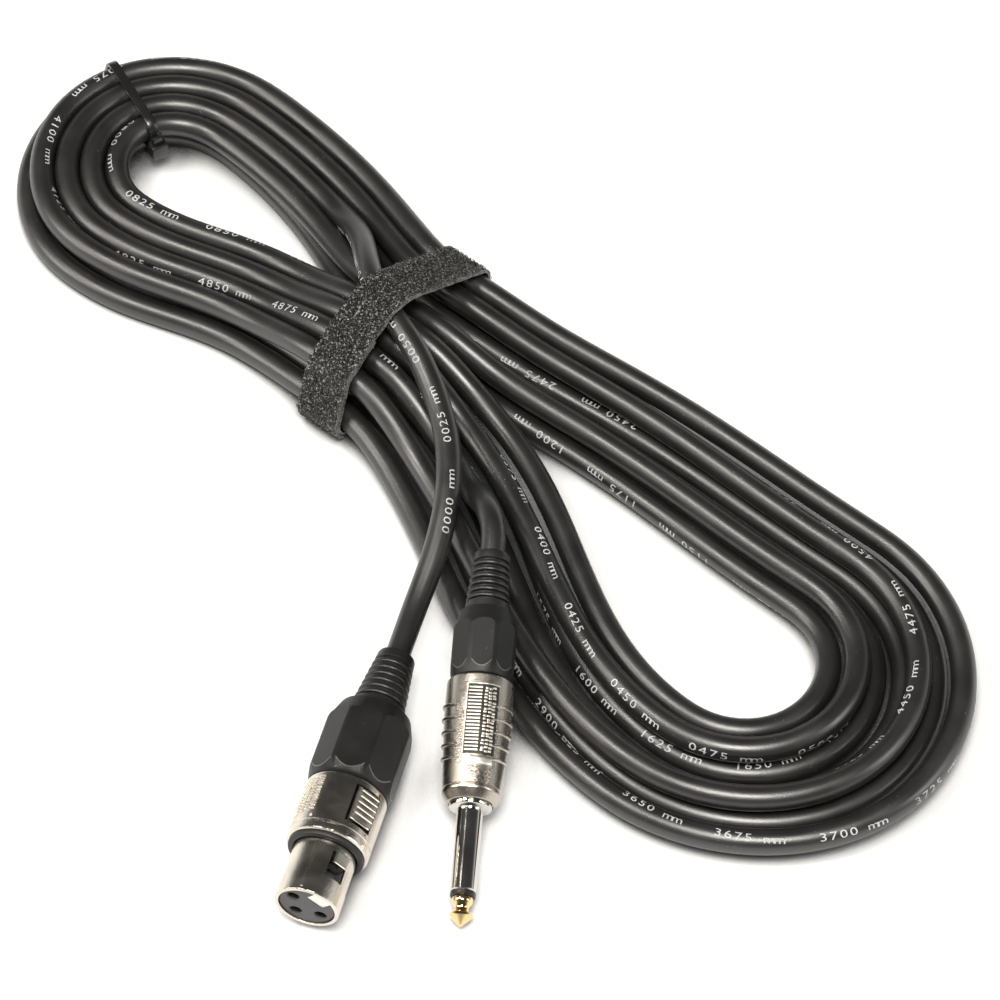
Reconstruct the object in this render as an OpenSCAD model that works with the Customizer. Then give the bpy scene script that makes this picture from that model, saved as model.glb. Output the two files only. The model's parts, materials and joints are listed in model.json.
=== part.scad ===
// Hanked microphone cable: a long signal cable wound into a pinched hank, with a
// three-pole socket connector on one end and a mono phone plug on the other.
// Lengths are in millimetres, +Z is up, and the hank's long lobe points along +X.
// The strap's underside is centred over the origin.

/* [Cable] */
// Outside diameter of the jacket
cable_d = 6.2; // [5.8:0.1:6.6]

/* [Hank] */
// Free gap between neighbouring turns
turn_gap = 0.5; // [0.45:0.05:0.8]
// From the strap to the centre of the short fold
short_reach = 84; // [70:1:110]
// Sideways place of the short fold
short_shift = 5.5; // [0:0.5:10]
// Guide radius of the short fold, inside the innermost turn
short_fold_r = 12.5; // [12:0.5:18]
// From the strap to the centre of the long fold
long_reach = 131; // [110:1:160]
// Sideways place of the long fold
long_shift = -21; // [-28:0.5:-16]
// Guide radius of the long fold, inside the innermost turn
long_fold_r = 21.5; // [19:0.5:30]
// How much further apart the turns lie at the far end of the long fold
long_stretch = 0.15; // [0:0.05:0.6]
// How far the inner turns bow into the long lobe beside the strap
fan_bow = 7; // [0:1:12]
// How far the near runs of the short lobe bow inwards
near_bow = 4.5; // [0:0.5:6]
// How far the upper layer is heaped up under the strap
heap = 8; // [6:0.5:9]

/* [Strap] */
// Width of the hook-and-loop strap along the hank
strap_w = 13; // [10:0.5:16]
// Thickness of the strap
strap_t = 1.6; // [1.2:0.1:2.2]
// Length of the overlap on the near side, from the outer edge
strap_lap = 16; // [10:1:22]

/* [Cable tie] */
// Width of the nylon tie's band
tie_w = 2.6; // [2.2:0.1:4]
// Thickness of the band
tie_t = 1.1; // [0.9:0.1:1.4]
// Side of the tie's head
tie_head = 4.8; // [4.2:0.1:6]

/* [Socket connector] */
// Outside diameter of the nose
nose_d = 16; // [15.8:0.1:16.4]
// Length of the nose in front of the body
nose_len = 16; // [15:0.5:18]
// Diameter of the grip body
body_d = 20.4; // [19.6:0.2:21.6]
// Length of the grip body
body_len = 16.5; // [15.5:0.5:20]
// Width across the flats of the gland nut
gland_af = 20.8; // [20.6:0.2:22.4]
// Length of the gland nut
gland_len = 23.5; // [22:0.5:27]
// Length of the ribbed boot behind the gland nut
boot_len = 18; // [15:0.5:22]
// Boot diameter at the cable end
boot_rear_d = 9.6; // [9:0.2:11]
// Boot diameter at the gland nut
boot_front_d = 14; // [12.6:0.2:15]
// Radius of the circle that the contacts lie on
contact_pcr = 4.4; // [4.3:0.05:4.6]
// Bore of a socket contact
contact_bore_d = 2.5; // [2.4:0.05:2.6]

/* [Phone plug] */
// Diameter of the plug's sleeve
plug_d = 6.35; // [6.25:0.05:6.45]
// Length of the plug in front of its barrel
plug_len = 31; // [30:0.5:32]
// Barrel diameter beside the gland nut
barrel_d = 16.5; // [16:0.1:18]
// Barrel diameter at the front
barrel_front_d = 14.5; // [14:0.1:15.8]
// Barrel length
barrel_len = 31.5; // [30:0.5:35]
// Width across the flats of the plug's gland nut
plug_gland_af = 15.4; // [15.2:0.1:15.9]
// Length of the plug's gland nut
plug_gland_len = 19; // [18:0.5:22]
// Length of the plug's ribbed boot
plug_boot_len = 16; // [13:0.5:18]
// Plug boot diameter at the cable end
plug_boot_rear_d = 9.2; // [8.8:0.1:9.8]
// Plug boot diameter at the gland nut
plug_boot_front_d = 11.2; // [10.6:0.1:11.4]

/* [Fits] */
// Clearance between pieces that move past each other
slip = 0.3; // [0.25:0.05:0.4]
// Clearance between pieces that stay put
seat = 0.05; // [0.03:0.01:0.08]
// Clearance of the latch pin in its eye
pin_fit = 0.05; // [0.03:0.01:0.08]
// How far a gland nut backs off
gland_travel = 6; // [4:0.5:7]

/* [Hidden] */
$fn = 48;
tiny = 0.01;
cable_r = cable_d / 2;
pitch = cable_d + turn_gap;

// The hank
turns_first = 0.082;
turns_last = 7.54;
columns = 4;
first_column = 2.25;
turn_in = columns - first_column;
turn_out = turn_in + columns;
climb_half = 0.3;
nest = pitch / 2;
waist_half = 0.2;
run_share = 0.3;
run_steps = 4;
short_steps = 6;
long_run_steps = 5;
long_steps = 8;
hank_sides = 6;
flat_cut = cable_d / 10;
strap_ease = 0.6;
tie_ease = 0.4;
lift_spread = 20;
hump_mid = -9;
hump_half = 30;
tie_angle = 158;
tie_share = (tie_angle - 90) / 180;
strap_lift = strap_t + strap_ease + flat_cut;
tie_lift = (tie_t + tie_ease + flat_cut) / pow(sin(180 * tie_share), 2);
tie_turn = (run_share + (1 - 2 * run_share) * tie_share) / 2;

function ease(t) = t * t * (3 - 2 * t);
function held(t) = max(0, min(1, t));
function part_turn(s) = s - floor(s);
function is_long(s) = part_turn(s) >= 0.5;
function along(s) = 2 * part_turn(s) - (is_long(s) ? 1 : 0);

// Column 0 is the outermost and the last is the innermost; the spiral runs in, out and in again.
function column(s) = s < turn_in ? first_column + s
    : s < turn_out ? columns - (s - turn_in) : s - turn_out;
function climbed(s, at) = ease(held((s - at + climb_half) / (2 * climb_half)));
function layer(s) = 1 - climbed(s, turn_in) + climbed(s, turn_out);
// In the lobes the lower layer lies half a pitch further out, under the gaps of the upper one.
function lobe(s) = ease(held(min(along(s), 1 - along(s)) / run_share));
function nested(s) = s < ceil(turn_in) || s >= ceil(turn_out) ? 0 : nest * lobe(s);
function outward(s) = (columns - column(s)) * pitch + nested(s);

// One run between the strap and a fold: t is 0 at the strap and 1 at the fold.
function run_y(t, side, shift, r) = side * waist_half
    + (shift + side * r - side * waist_half) * ease(t);
function run_slope(t, side, reach, shift, r) =
    (shift + side * r - side * waist_half) * 6 * t * (1 - t) / reach;
function run_xy(t, side, reach, shift, r, o) =
    let (m = run_slope(t, side, reach, shift, r), n = sqrt(1 + m * m))
    [reach * t - side * m / n * o, run_y(t, side, shift, r) + side * o / n];
function fold_xy(angle, reach, shift, r, o) =
    [reach + (r + o) * cos(angle), shift + (r + o) * sin(angle)];

// Bow of the inner turns into the long lobe, beside the strap
bow_peak = pow(5, 5) / (pow(2, 2) * pow(3, 3));
function bow(t, o) = -fan_bow * (1 - o / (columns * pitch)) * bow_peak * pow(t, 2) * pow(1 - t, 3);
// Bow of the far runs, all turns alike
far_bow = 2.2;
function swell(t) = pow(4 * t * (1 - t), 3);
function far_bulge(t) = far_bow * swell(t);

function short_xy(v, o) = v < run_share
    ? run_xy(v / run_share, 1, -short_reach, short_shift, short_fold_r, o + far_bulge(v / run_share))
    : v > 1 - run_share
    ? run_xy((1 - v) / run_share, -1, -short_reach, short_shift, short_fold_r,
        o - near_bow * swell((1 - v) / run_share))
    : fold_xy(90 + 180 * (v - run_share) / (1 - 2 * run_share), -short_reach, short_shift,
        short_fold_r, o);
function long_xy(v, o) = v < run_share
    ? run_xy(v / run_share, -1, long_reach, long_shift, long_fold_r, o + bow(v / run_share, o))
    : v > 1 - run_share
    ? run_xy((1 - v) / run_share, 1, long_reach, long_shift, long_fold_r,
        o + far_bulge((1 - v) / run_share))
        + [long_stretch * o * ease((1 - v) / run_share), 0]
    : let (w = (v - run_share) / (1 - 2 * run_share))
    fold_xy(270 + 180 * w, long_reach, long_shift, long_fold_r, o)
        + [long_stretch * o * ease(held(2 * w)), 0];
function turn_xy(s) = is_long(s) ? long_xy(along(s), outward(s)) : short_xy(along(s), outward(s));
function fold_lift(s) = let (w = (along(s) - run_share) / (1 - 2 * run_share))
    is_long(s) || w < 0 || w > 1 ? 0 : tie_lift * pow(sin(180 * w), 2);
function heaped(y) = pow(max(0, 1 - pow((y - hump_mid) / hump_half, 2)), 2);
function strap_rise(q, up) = (strap_lift + heap * up * heaped(q[1]))
    * exp(-pow(max(0, abs(q[0]) - strap_w / 2) / lift_spread, 2));
function turn_at(s) = let (q = turn_xy(s))
    [q[0], q[1], cable_r - flat_cut + layer(s) * pitch + strap_rise(q, layer(s)) + fold_lift(s)];

// Stations along the hank: each half turn has a run, a fold and a run.
function stations(runs, fold, reach) = let (edge = run_share * strap_w / (2 * reach)) concat(
    [0, edge],
    [for (i = [1 : runs - 1]) run_share * i / runs],
    [for (i = [0 : fold - 1]) run_share + (1 - 2 * run_share) * i / fold],
    [for (i = [0 : runs - 1]) 1 - run_share + run_share * i / runs],
    [1 - edge]);
start_step = cable_d * run_share / (2 * short_reach);
end_step = cable_d * run_share / (2 * long_reach);
all_turns = [for (k = [0 : 7]) each concat(
    [for (v = stations(run_steps, short_steps, short_reach)) k + v / 2],
    [for (v = stations(long_run_steps, long_steps, long_reach)) k + 0.5 + v / 2])];
hank_turns = concat([turns_first, turns_first + start_step],
    [for (s = all_turns) if (s > turns_first + 2 * start_step && s < turns_last - 2 * end_step) s],
    [turns_last - end_step, turns_last]);
hank_path = [for (s = hank_turns) turn_at(s)];

// Tubes
function unit(v) = v / norm(v);
function heading(path, i) = let (n = len(path) - 1)
    i < 2 ? unit(path[1] - path[0])
    : i > n - 2 ? unit(path[n] - path[n - 1])
    : unit(unit(path[i + 1] - path[i]) + unit(path[i] - path[i - 1]));
function ring(centre, dir, r, sides, floor_z) = let (
        across = unit(cross(dir, [0, 0, 1])),
        above = cross(across, dir))
    [for (j = [0 : sides - 1]) let (
            p = centre + r * (cos(360 * j / sides) * across + sin(360 * j / sides) * above))
        [p[0], p[1], max(p[2], floor_z)]];
module tube(path, r, sides, floor_z = -100) {
    n = len(path);
    points = [for (i = [0 : n - 1]) each ring(path[i], heading(path, i), r, sides, floor_z)];
    sleeve = [for (i = [0 : n - 2], j = [0 : sides - 1]) let (
            a = i * sides + j,
            b = i * sides + (j + 1) % sides)
        each [[a, b, a + sides], [b, b + sides, a + sides]]];
    first = [for (j = [1 : sides - 2]) [0, j + 1, j]];
    last = [for (j = [1 : sides - 2]) [(n - 1) * sides, (n - 1) * sides + j,
        (n - 1) * sides + j + 1]];
    polyhedron(points = points, faces = concat(sleeve, first, last), convexity = 10);
}

// Free leads: hand-chosen points, joined by a smooth curve,
// and straight behind the connectors
socket_run_in = 8;
plug_run_in = 7;
lead_sides = 10;
lead_steps = 2;
function between(p, t) = 0.5 * (2 * p[1] + (p[2] - p[0]) * t
    + (2 * p[0] - 5 * p[1] + 4 * p[2] - p[3]) * t * t
    + (3 * p[1] - p[0] - 3 * p[2] + p[3]) * t * t * t);
function smooth_path(pts) = let (n = len(pts) - 1) concat(
    [pts[0]],
    [for (i = [1 : n - 2], k = [0 : lead_steps - 1])
        between([pts[i - 1], pts[i], pts[i + 1], pts[i + 2]], k / lead_steps)],
    [pts[n - 1], pts[n]]);
socket_route = [[-33.8, 20.4, 11.6], [-26.7, 16.7, 13.8 + 0.3 * heap], [-19.6, 10.2, 16.2 + 0.6 * heap],
    [-11.6, 2.8, 17.8 + 0.9 * heap], [-4, -2.6, 19 + heap], [5, -6.4, 19.4 + heap],
    [15, -10, 19.2 + 0.9 * heap], [27, -16, 20.2 + 0.4 * heap], [39, -25, 21], [49, -37, 19.2],
    [56, -50, 15.4]];
plug_route = [[42, -23.6, 10.4], [49, -27.6, 12.6], [55, -31.2, 17.9], [60.5, -34.8, 22.4]];

// Places of the two connectors: the point where the cable enters the boot, turn and dip
socket_pos = [67.5, -78, 11.3];
socket_yaw = -66;
socket_dip = 1;
socket_roll = 48;
plug_pos = [70.6, -45.2, 22.4];
plug_yaw = -54.5;
plug_dip = 11.6;
plug_roll = 0;
function axis_of(yaw, dip) = [cos(dip) * cos(yaw), cos(dip) * sin(yaw), -sin(dip)];
socket_axis = axis_of(socket_yaw, socket_dip);
plug_axis = axis_of(plug_yaw, plug_dip);
module at_socket(roll = 0) {
    translate(socket_pos) rotate([0, 0, socket_yaw]) rotate([0, 90 + socket_dip, 0])
        rotate([0, 0, roll]) children();
}
module at_plug(roll = 0) {
    translate(plug_pos) rotate([0, 0, plug_yaw]) rotate([0, 90 + plug_dip, 0])
        rotate([0, 0, roll]) children();
}

// Stations along the socket connector, from the rear of its boot
gland_z = boot_len;
body_z = gland_z + gland_len;
nose_z = body_z + body_len;
face_z = nose_z + nose_len;
nose_r = nose_d / 2;
nose_wall = 1;
nose_relief = 0.2;
land_len = 5;
bore_r = nose_r - nose_wall;
body_r = body_d / 2;
tail_len = 11;
tail_z = body_z - tail_len;
tail_r = bore_r + 1.4;
gland_bore_r = tail_r + slip + seat;
gland_wall = 1.8;
core_gap = 0.5;
jacket_z = body_z - 8;
chuck_end_z = body_z - 9;
chuck_z = body_z - 17;
cable_bore_r = cable_r + slip;
grip_r = cable_r + seat;
edge = 0.5;

// The latch and the slot it swings in
latch_w = 3.8;
slot_w = latch_w + 4 * slip;
slot_floor = 2.9;
lever_in = 4.5;
lever_out = 6;
eye_r = 1.2;
latch_pin_r = 0.6;
pivot_y = (lever_in + lever_out) / 2;
pivot_z = body_z + 0.5;
pin_half = slot_w / 2 + 0.7;
button_w = 6.4;
button_z = body_z + 2.4;
button_len = 9;
button_out = body_r + 0.6;
button_slot_w = button_w + 4 * slip;
nub_z = face_z - 12.6;
nub_len = 3.2;
nub_out = nose_r + 0.5;
window_z = nub_z - 2 * slip;
window_len = 7.4;
grip_ribs = 5;

// The insert and its contacts
insert_z = body_z - 2;
insert_r = bore_r - seat;
insert_back = 0.4;
contact_r = contact_bore_d / 2 + 0.55;
contact_back = 1.2;
contact_depth = 12;
cup_r = 1.3;
cup_bore_r = 0.9;
cup_z = body_z - 4;
contact_places = [[contact_pcr, 0], [-contact_pcr, 0], [0, -contact_pcr]];
core_r = 0.55;
core_spread = 1.1;
key_w = 2.4;
key_depth = 1.5;
key_len = 6;

// Stations along the plug, from the rear of its boot
plug_gland_z = plug_boot_len;
barrel_z = plug_gland_z + plug_gland_len;
shoulder_z = barrel_z + barrel_len;
point_z = shoulder_z + plug_len;
barrel_r = barrel_d / 2;
barrel_front_r = barrel_front_d / 2;
plug_r = plug_d / 2;
plug_tail_len = 9;
plug_tail_z = barrel_z - plug_tail_len;
plug_tail_r = 5.9;
plug_tail_bore_r = 4.9;
plug_gland_bore_r = plug_tail_r + slip + seat;
plug_gland_wall = 1.6;
plug_jacket_z = barrel_z - 3;
plug_chuck_end_z = barrel_z - 4;
plug_chuck_z = barrel_z - 13;
front_wall = 2.5;
cavity_r = 6;
shank_r = 3.9;
flange_r = 5.2;
flange_t = 1.2;
collar_t = 2;
lug_t = 0.8;
rod_r = 1.5;
liner_r = 2.05;
band_t = 1.3;
tip_len = 7.4;
band_z = point_z - tip_len - band_t;
tip_r = 2.9;
neck_r = 1.75;
tip_collar_r = 2.55;
side_ribs = 5;
rib_r = 0.5;

// Shared shapes
module pipe(r_out, r_in, z0, z1) {
    translate([0, 0, z0]) difference() {
        cylinder(r = r_out, h = z1 - z0);
        translate([0, 0, -1]) cylinder(r = r_in, h = z1 - z0 + 2);
    }
}
module block(w, y0, y1, z0, z1) {
    translate([-w / 2, y0, z0]) cube([w, y1 - y0, z1 - z0]);
}
module strut(p, q, r) {
    v = q - p;
    translate(p) rotate([0, acos(v[2] / norm(v)), atan2(v[1], v[0])]) cylinder(r = r, h = norm(v));
}
// Ribbed boot: a cone with stepped ribs, a neck through the gland nut and a flange behind its wall
boot_ribs = 7;
rib_depth = 0.8;
neck_gap = 0.4;
boot_flange_t = 1.5;
function boot_neck(front_d) = front_d / 2 - rib_depth;
function boot_flange(front_d) = boot_neck(front_d) + 1.1;
module ribbed_boot(length, rear_d, front_d, wall) {
    rise = (front_d - rear_d) / 2;
    step = length / (boot_ribs + 0.5);
    neck = boot_neck(front_d);
    flange_z = length + wall + slip;
    ribs = [for (i = [0 : boot_ribs - 1]) let (
            z = i * step + step / 2,
            r = rear_d / 2 + rise * (z + step / 2) / length)
        each [[r - rib_depth, z], [r, z], [r, z + step * 0.6], [r - rib_depth, z + step * 0.6]]];
    rotate_extrude() polygon(concat(
        [[cable_bore_r, 0], [rear_d / 2 - rib_depth, 0]], ribs,
        [[neck, length], [neck, flange_z], [boot_flange(front_d), flange_z],
            [boot_flange(front_d), flange_z + boot_flange_t],
            [cable_bore_r, flange_z + boot_flange_t]]));
}
// Gland nut: eight flats trimmed by a round blank, so that each flat ends in an arch
module gland_nut(z0, length, af, bore_r, hole_r, wall) {
    corner = af / 2 / cos(22.5);
    blank = corner - 0.25;
    flare = 4.5;
    collar = 3;
    difference() {
        intersection() {
            translate([0, 0, z0]) rotate([0, 0, 22.5]) cylinder(r = corner, h = length, $fn = 8);
            translate([0, 0, z0]) rotate_extrude() polygon([[0, 0], [bore_r + slip, 0], [blank, flare],
                [blank, length - collar], [af / 2 - 0.6, length], [0, length]]);
        }
        translate([0, 0, z0 - 1]) cylinder(r = hole_r, h = length + 2);
        translate([0, 0, z0 + wall]) cylinder(r = bore_r, h = length);
    }
}
module chuck(z0, z1, r_out, slots) {
    difference() {
        translate([0, 0, z0]) rotate_extrude() polygon([[grip_r, 0], [r_out - 1.4, 0],
            [r_out, (z1 - z0) * 0.6], [r_out, z1 - z0], [grip_r, z1 - z0]]);
        for (k = [0 : slots - 1]) rotate([0, 0, 360 * k / slots])
            translate([0, -edge, z0 - 1]) cube([r_out + 1, 2 * edge, (z1 - z0) * 0.6 + 1]);
    }
}

// Cable
module cable_hank() color("#1d1d1f") tube(hank_path, cable_r, hank_sides, 0);
socket_lead_path = smooth_path(concat(
    [turn_at(turns_first),
        turn_at(turns_first) + cable_d * unit(turn_at(turns_first) - turn_at(turns_first + start_step))],
    socket_route,
    [for (z = [-2 * socket_run_in, -socket_run_in, 0, jacket_z / 2, jacket_z])
        socket_pos + z * socket_axis]));
plug_lead_path = smooth_path(concat(
    [turn_at(turns_last),
        turn_at(turns_last) + cable_d * unit(turn_at(turns_last) - turn_at(turns_last - end_step))],
    plug_route,
    [for (z = [-plug_run_in, 0, plug_jacket_z / 2, plug_jacket_z]) plug_pos + z * plug_axis]));
module socket_lead() color("#1d1d1f") tube(socket_lead_path, cable_r, lead_sides);
module plug_lead() color("#1d1d1f") tube(plug_lead_path, cable_r, lead_sides);

// Strap: drawn tight round the waist, with its end lapped on the near side
function over_strap(x) = [
    lookup(x, [for (p = socket_route) [p[0], p[1]]]),
    lookup(x, [for (p = socket_route) [p[0], p[2]]])];
strap_runs = concat(
    [for (k = [-1 : 1], s = [5, 6, 1.5, 0.5, 7.5, 6.5, 5.5])
        let (q = turn_at(s + k * strap_w * run_share / (4 * short_reach))) [q[1], q[2]]],
    [for (x = [-strap_w / 2, 0, strap_w / 2]) over_strap(x)]);
strap_edge = cable_r + strap_ease;
module strap_outline(grow) {
    hull() for (q = strap_runs) translate(q) circle(r = strap_edge + grow, $fn = 32);
}
module strap() {
    near = min([for (q = strap_runs) q[0]]) - strap_edge - strap_t;
    top = max([for (q = strap_runs) q[1]]) + strap_edge + 2 * strap_t;
    color("#202022") rotate([90, 0, 90]) translate([0, 0, -strap_w / 2])
        linear_extrude(height = strap_w) {
            difference() {
                strap_outline(strap_t);
                strap_outline(0);
            }
            intersection() {
                difference() {
                    strap_outline(2 * strap_t);
                    strap_outline(strap_t / 2);
                }
                translate([near - 2 * strap_t, strap_t]) square([strap_lap, top]);
            }
        }
}

// Cable tie round the short fold
tie_runs = [for (k = [0 : 7]) let (s = k + tie_turn) [short_fold_r + outward(s), turn_at(s)[2]]];
tie_edge = cable_r + tie_ease;
tie_inner = min([for (q = tie_runs) q[0]]) - tie_edge;
tie_mid = (min([for (q = tie_runs) q[1]]) + max([for (q = tie_runs) q[1]])) / 2;
module tie_outline(grow) {
    hull() for (q = tie_runs) translate(q) circle(r = tie_edge + grow, $fn = 32);
}
module cable_tie() color("#151516") translate([-short_reach, short_shift, 0])
    rotate([0, 0, tie_angle]) rotate([90, 0, 0]) {
        translate([0, 0, -tie_w / 2]) linear_extrude(height = tie_w) difference() {
            tie_outline(tie_t);
            tie_outline(0);
        }
        translate([tie_inner - tie_head + tie_t / 2, tie_mid - tie_head / 2, -tie_head / 2])
            cube([tie_head - tie_t, tie_head, tie_head]);
        translate([tie_inner - tie_head / 2 - tie_t / 2, tie_mid, -tie_w / 2])
            cube([tie_t, tie_head / 2 + 2 * tie_t, tie_w]);
    }

// Socket connector
module socket_shell() color("#b9b4a8") at_socket(socket_roll) difference() {
    union() {
        translate([0, 0, tail_z]) cylinder(r = tail_r, h = tail_len + 1);
        translate([0, 0, body_z]) cylinder(r = body_r, h = body_len - 1.5);
        translate([0, 0, nose_z - 1.5]) cylinder(r1 = body_r, r2 = body_r - edge, h = 1.5);
        translate([0, 0, nose_z - tiny]) cylinder(r = nose_r - nose_relief, h = nose_len - 2 * edge);
        translate([0, 0, face_z - land_len - edge]) cylinder(r = nose_r, h = land_len);
        translate([0, 0, face_z - edge]) cylinder(r1 = nose_r, r2 = nose_r - edge, h = edge);
        intersection() {
            translate([0, 0, body_z + 2.5]) cylinder(r = body_r + 0.3, h = body_len - 6);
            translate([-body_r - 2, -4.2, body_z]) cube([body_r, 8.4, body_len]);
        }
    }
    translate([0, 0, tail_z - 1]) cylinder(r = bore_r, h = face_z - tail_z + 2);
    block(latch_w + 4 * slip, slot_floor, nose_r + 1, window_z, window_z + window_len);
    block(button_slot_w, lever_out - 1, body_r + 2, button_z - 2 * slip, button_z + button_len + 0.8);
}
module socket_insert() color("#3a3b3d") at_socket(socket_roll) difference() {
    translate([0, 0, insert_z]) cylinder(r = insert_r, h = face_z - insert_back - insert_z);
    block(slot_w, slot_floor, bore_r + 1, insert_z - 1, face_z);
    block(button_slot_w, lever_in, bore_r + 1, button_z - 2 * slip, button_z + button_len + 0.8);
    block(key_w, slot_floor - key_depth, slot_floor + 1, face_z - key_len, face_z + 1);
    for (q = contact_places) translate([q[0], q[1], insert_z - 1])
        cylinder(r = contact_r + seat, h = face_z - insert_z + 2);
    translate([-pin_half, pivot_y, pivot_z]) rotate([0, 90, 0])
        cylinder(r = latch_pin_r + seat / 2, h = 2 * pin_half);
}
module contact(q) color("#c9b26a") at_socket(socket_roll) translate([q[0], q[1], 0]) difference() {
    union() {
        translate([0, 0, insert_z]) cylinder(r = contact_r, h = face_z - contact_back - insert_z);
        translate([0, 0, cup_z]) cylinder(r = cup_r, h = insert_z - cup_z + 1);
    }
    translate([0, 0, face_z - contact_back - contact_depth])
        cylinder(r = contact_bore_d / 2, h = contact_depth + 1);
    translate([0, 0, cup_z - 1]) cylinder(r = cup_bore_r, h = insert_z - cup_z);
}
module socket_contact_1() contact(contact_places[0]);
module socket_contact_2() contact(contact_places[1]);
module socket_contact_3() contact(contact_places[2]);
module socket_latch() color("#cfcabd") at_socket(socket_roll) difference() {
    union() {
        block(latch_w, lever_in, lever_out, pivot_z, nub_z + nub_len);
        block(latch_w, lever_in, nub_out, nub_z, nub_z + nub_len);
        block(latch_w, lever_in, button_out, button_z, button_z + button_len);
        block(button_w, lever_out + 1, button_out, button_z, button_z + button_len);
        for (k = [0 : grip_ribs - 1])
            block(button_w - 1, button_out - edge, button_out + 0.4,
                button_z + 1 + k * (button_len - 1.2) / grip_ribs,
                button_z + 1.8 + k * (button_len - 1.2) / grip_ribs);
        translate([-latch_w / 2, pivot_y, pivot_z]) rotate([0, 90, 0]) cylinder(r = eye_r, h = latch_w);
    }
    translate([-latch_w, pivot_y, pivot_z]) rotate([0, 90, 0])
        cylinder(r = latch_pin_r + pin_fit, h = 2 * latch_w);
}
module socket_latch_pin() color("#8f9194") at_socket(socket_roll)
    translate([-pin_half, pivot_y, pivot_z]) rotate([0, 90, 0])
        cylinder(r = latch_pin_r, h = 2 * pin_half);
module socket_latch_spring() {
    leaf_z = button_z + 1;
    leaf_len = 8;
    leaf_t = 0.3;
    leaf_rise = 0.8;
    color("#9fa3a8") at_socket(socket_roll) translate([-latch_w / 2, 0, 0]) rotate([90, 0, 90])
        linear_extrude(height = latch_w) polygon([[slot_floor, leaf_z],
            [slot_floor + leaf_t, leaf_z], [slot_floor + leaf_rise, leaf_z + leaf_len / 2],
            [slot_floor + leaf_t, leaf_z + leaf_len], [slot_floor, leaf_z + leaf_len],
            [slot_floor + leaf_rise - leaf_t, leaf_z + leaf_len / 2]]);
}
module socket_ring() color("#171718") at_socket() pipe(body_r - 0.7, nose_r + seat, nose_z, nose_z + 1.2);
module socket_chuck() color("#d9d8d2") at_socket() chuck(chuck_z, chuck_end_z, bore_r - seat, 4);
module socket_gland() color("#1a1a1b") at_socket()
    gland_nut(gland_z, gland_len - slip, gland_af, gland_bore_r,
        boot_neck(boot_front_d) + neck_gap, gland_wall);
module socket_boot() color("#1a1a1b") at_socket()
    ribbed_boot(boot_len, boot_rear_d, boot_front_d, gland_wall);
module socket_core(q, start) at_socket(socket_roll)
    strut([start[0], start[1], jacket_z + core_gap], [q[0], q[1], cup_z - 4 * seat], core_r);
module socket_core_red() color("#b3282d") socket_core(contact_places[0], [core_spread, 0]);
module socket_core_white() color("#e4e2dc") socket_core(contact_places[1], [-core_spread, 0]);
module socket_screen() color("#b87a4b") socket_core(contact_places[2], [0, -core_spread]);

// Phone plug
module plug_barrel() color("#bdb8ac") at_plug(plug_roll) {
    flare_z = barrel_z + barrel_len * 0.3;
    front_z = shoulder_z - 3;
    difference() {
        union() {
            translate([0, 0, plug_tail_z]) cylinder(r = plug_tail_r, h = plug_tail_len + 1);
            translate([0, 0, barrel_z]) cylinder(r = barrel_r, h = flare_z - barrel_z);
            translate([0, 0, flare_z - tiny])
                cylinder(r1 = barrel_r, r2 = barrel_front_r, h = front_z - flare_z + 2 * tiny);
            translate([0, 0, front_z])
                cylinder(r1 = barrel_front_r, r2 = barrel_front_r - 1.4, h = shoulder_z - front_z);
            for (side = [0, 180], k = [0 : side_ribs - 1]) let (
                    z = barrel_z + 5 + k * (barrel_len - 12) / (side_ribs - 1),
                    r = barrel_r + (barrel_front_r - barrel_r) * held((z - flare_z) / (front_z - flare_z)))
                rotate([0, 0, side + 52]) rotate_extrude(angle = 76)
                    translate([r - rib_r * 0.4, z]) circle(r = rib_r, $fn = 16);
            intersection() {
                translate([0, 0, barrel_z + 4]) cylinder(r = barrel_r + 0.25, h = barrel_len - 11);
                translate([-barrel_r - 2, -3.4, barrel_z]) cube([barrel_r, 6.8, barrel_len]);
            }
        }
        translate([0, 0, plug_tail_z - 1]) cylinder(r = plug_tail_bore_r, h = plug_tail_len + 3);
        translate([0, 0, barrel_z + 1]) cylinder(r = cavity_r, h = barrel_len - front_wall - 1);
        translate([0, 0, shoulder_z - front_wall - 1]) cylinder(r = shank_r + seat, h = front_wall + 2);
    }
}
module plug_sleeve() color("#c6c2b8") at_plug(plug_roll) difference() {
    union() {
        pipe(flange_r, liner_r + seat, shoulder_z, shoulder_z + flange_t);
        pipe(plug_r, liner_r + seat, shoulder_z, band_z);
        pipe(shank_r, liner_r + seat, shoulder_z - front_wall, shoulder_z + flange_t / 2);
        pipe(flange_r, liner_r + seat, shoulder_z - front_wall - collar_t, shoulder_z - front_wall);
    }
}
lug_z = shoulder_z - front_wall - collar_t - lug_t;
washer_t = 2;
band_drop = 0.25;
module plug_liner() color("#141415") at_plug(plug_roll) union() {
    pipe(liner_r, rod_r + seat, lug_z, band_z + band_t / 2);
    pipe(plug_r - band_drop, rod_r + seat, band_z, band_z + band_t);
}
module plug_tip() color("#d6a94a") at_plug(plug_roll) {
    base = band_z + band_t;
    rotate_extrude() polygon([[0, lug_z - washer_t - 3], [rod_r, lug_z - washer_t - 3], [rod_r, base],
        [tip_collar_r, base], [tip_collar_r, base + 1.6], [neck_r, base + 2.6], [neck_r, base + 3.4],
        [tip_r, base + 4.6], [edge, point_z - edge / 2], [0, point_z]]);
}
module plug_ground_lug() color("#b8b8b4") at_plug(plug_roll) difference() {
    union() {
        pipe(flange_r, liner_r + seat, lug_z, lug_z + lug_t);
        block(3, -flange_r, 0.7 - flange_r, barrel_z + 6, lug_z + lug_t);
    }
    translate([0, 0, lug_z - 1]) cylinder(r = liner_r + seat, h = lug_t + 2);
}
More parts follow.
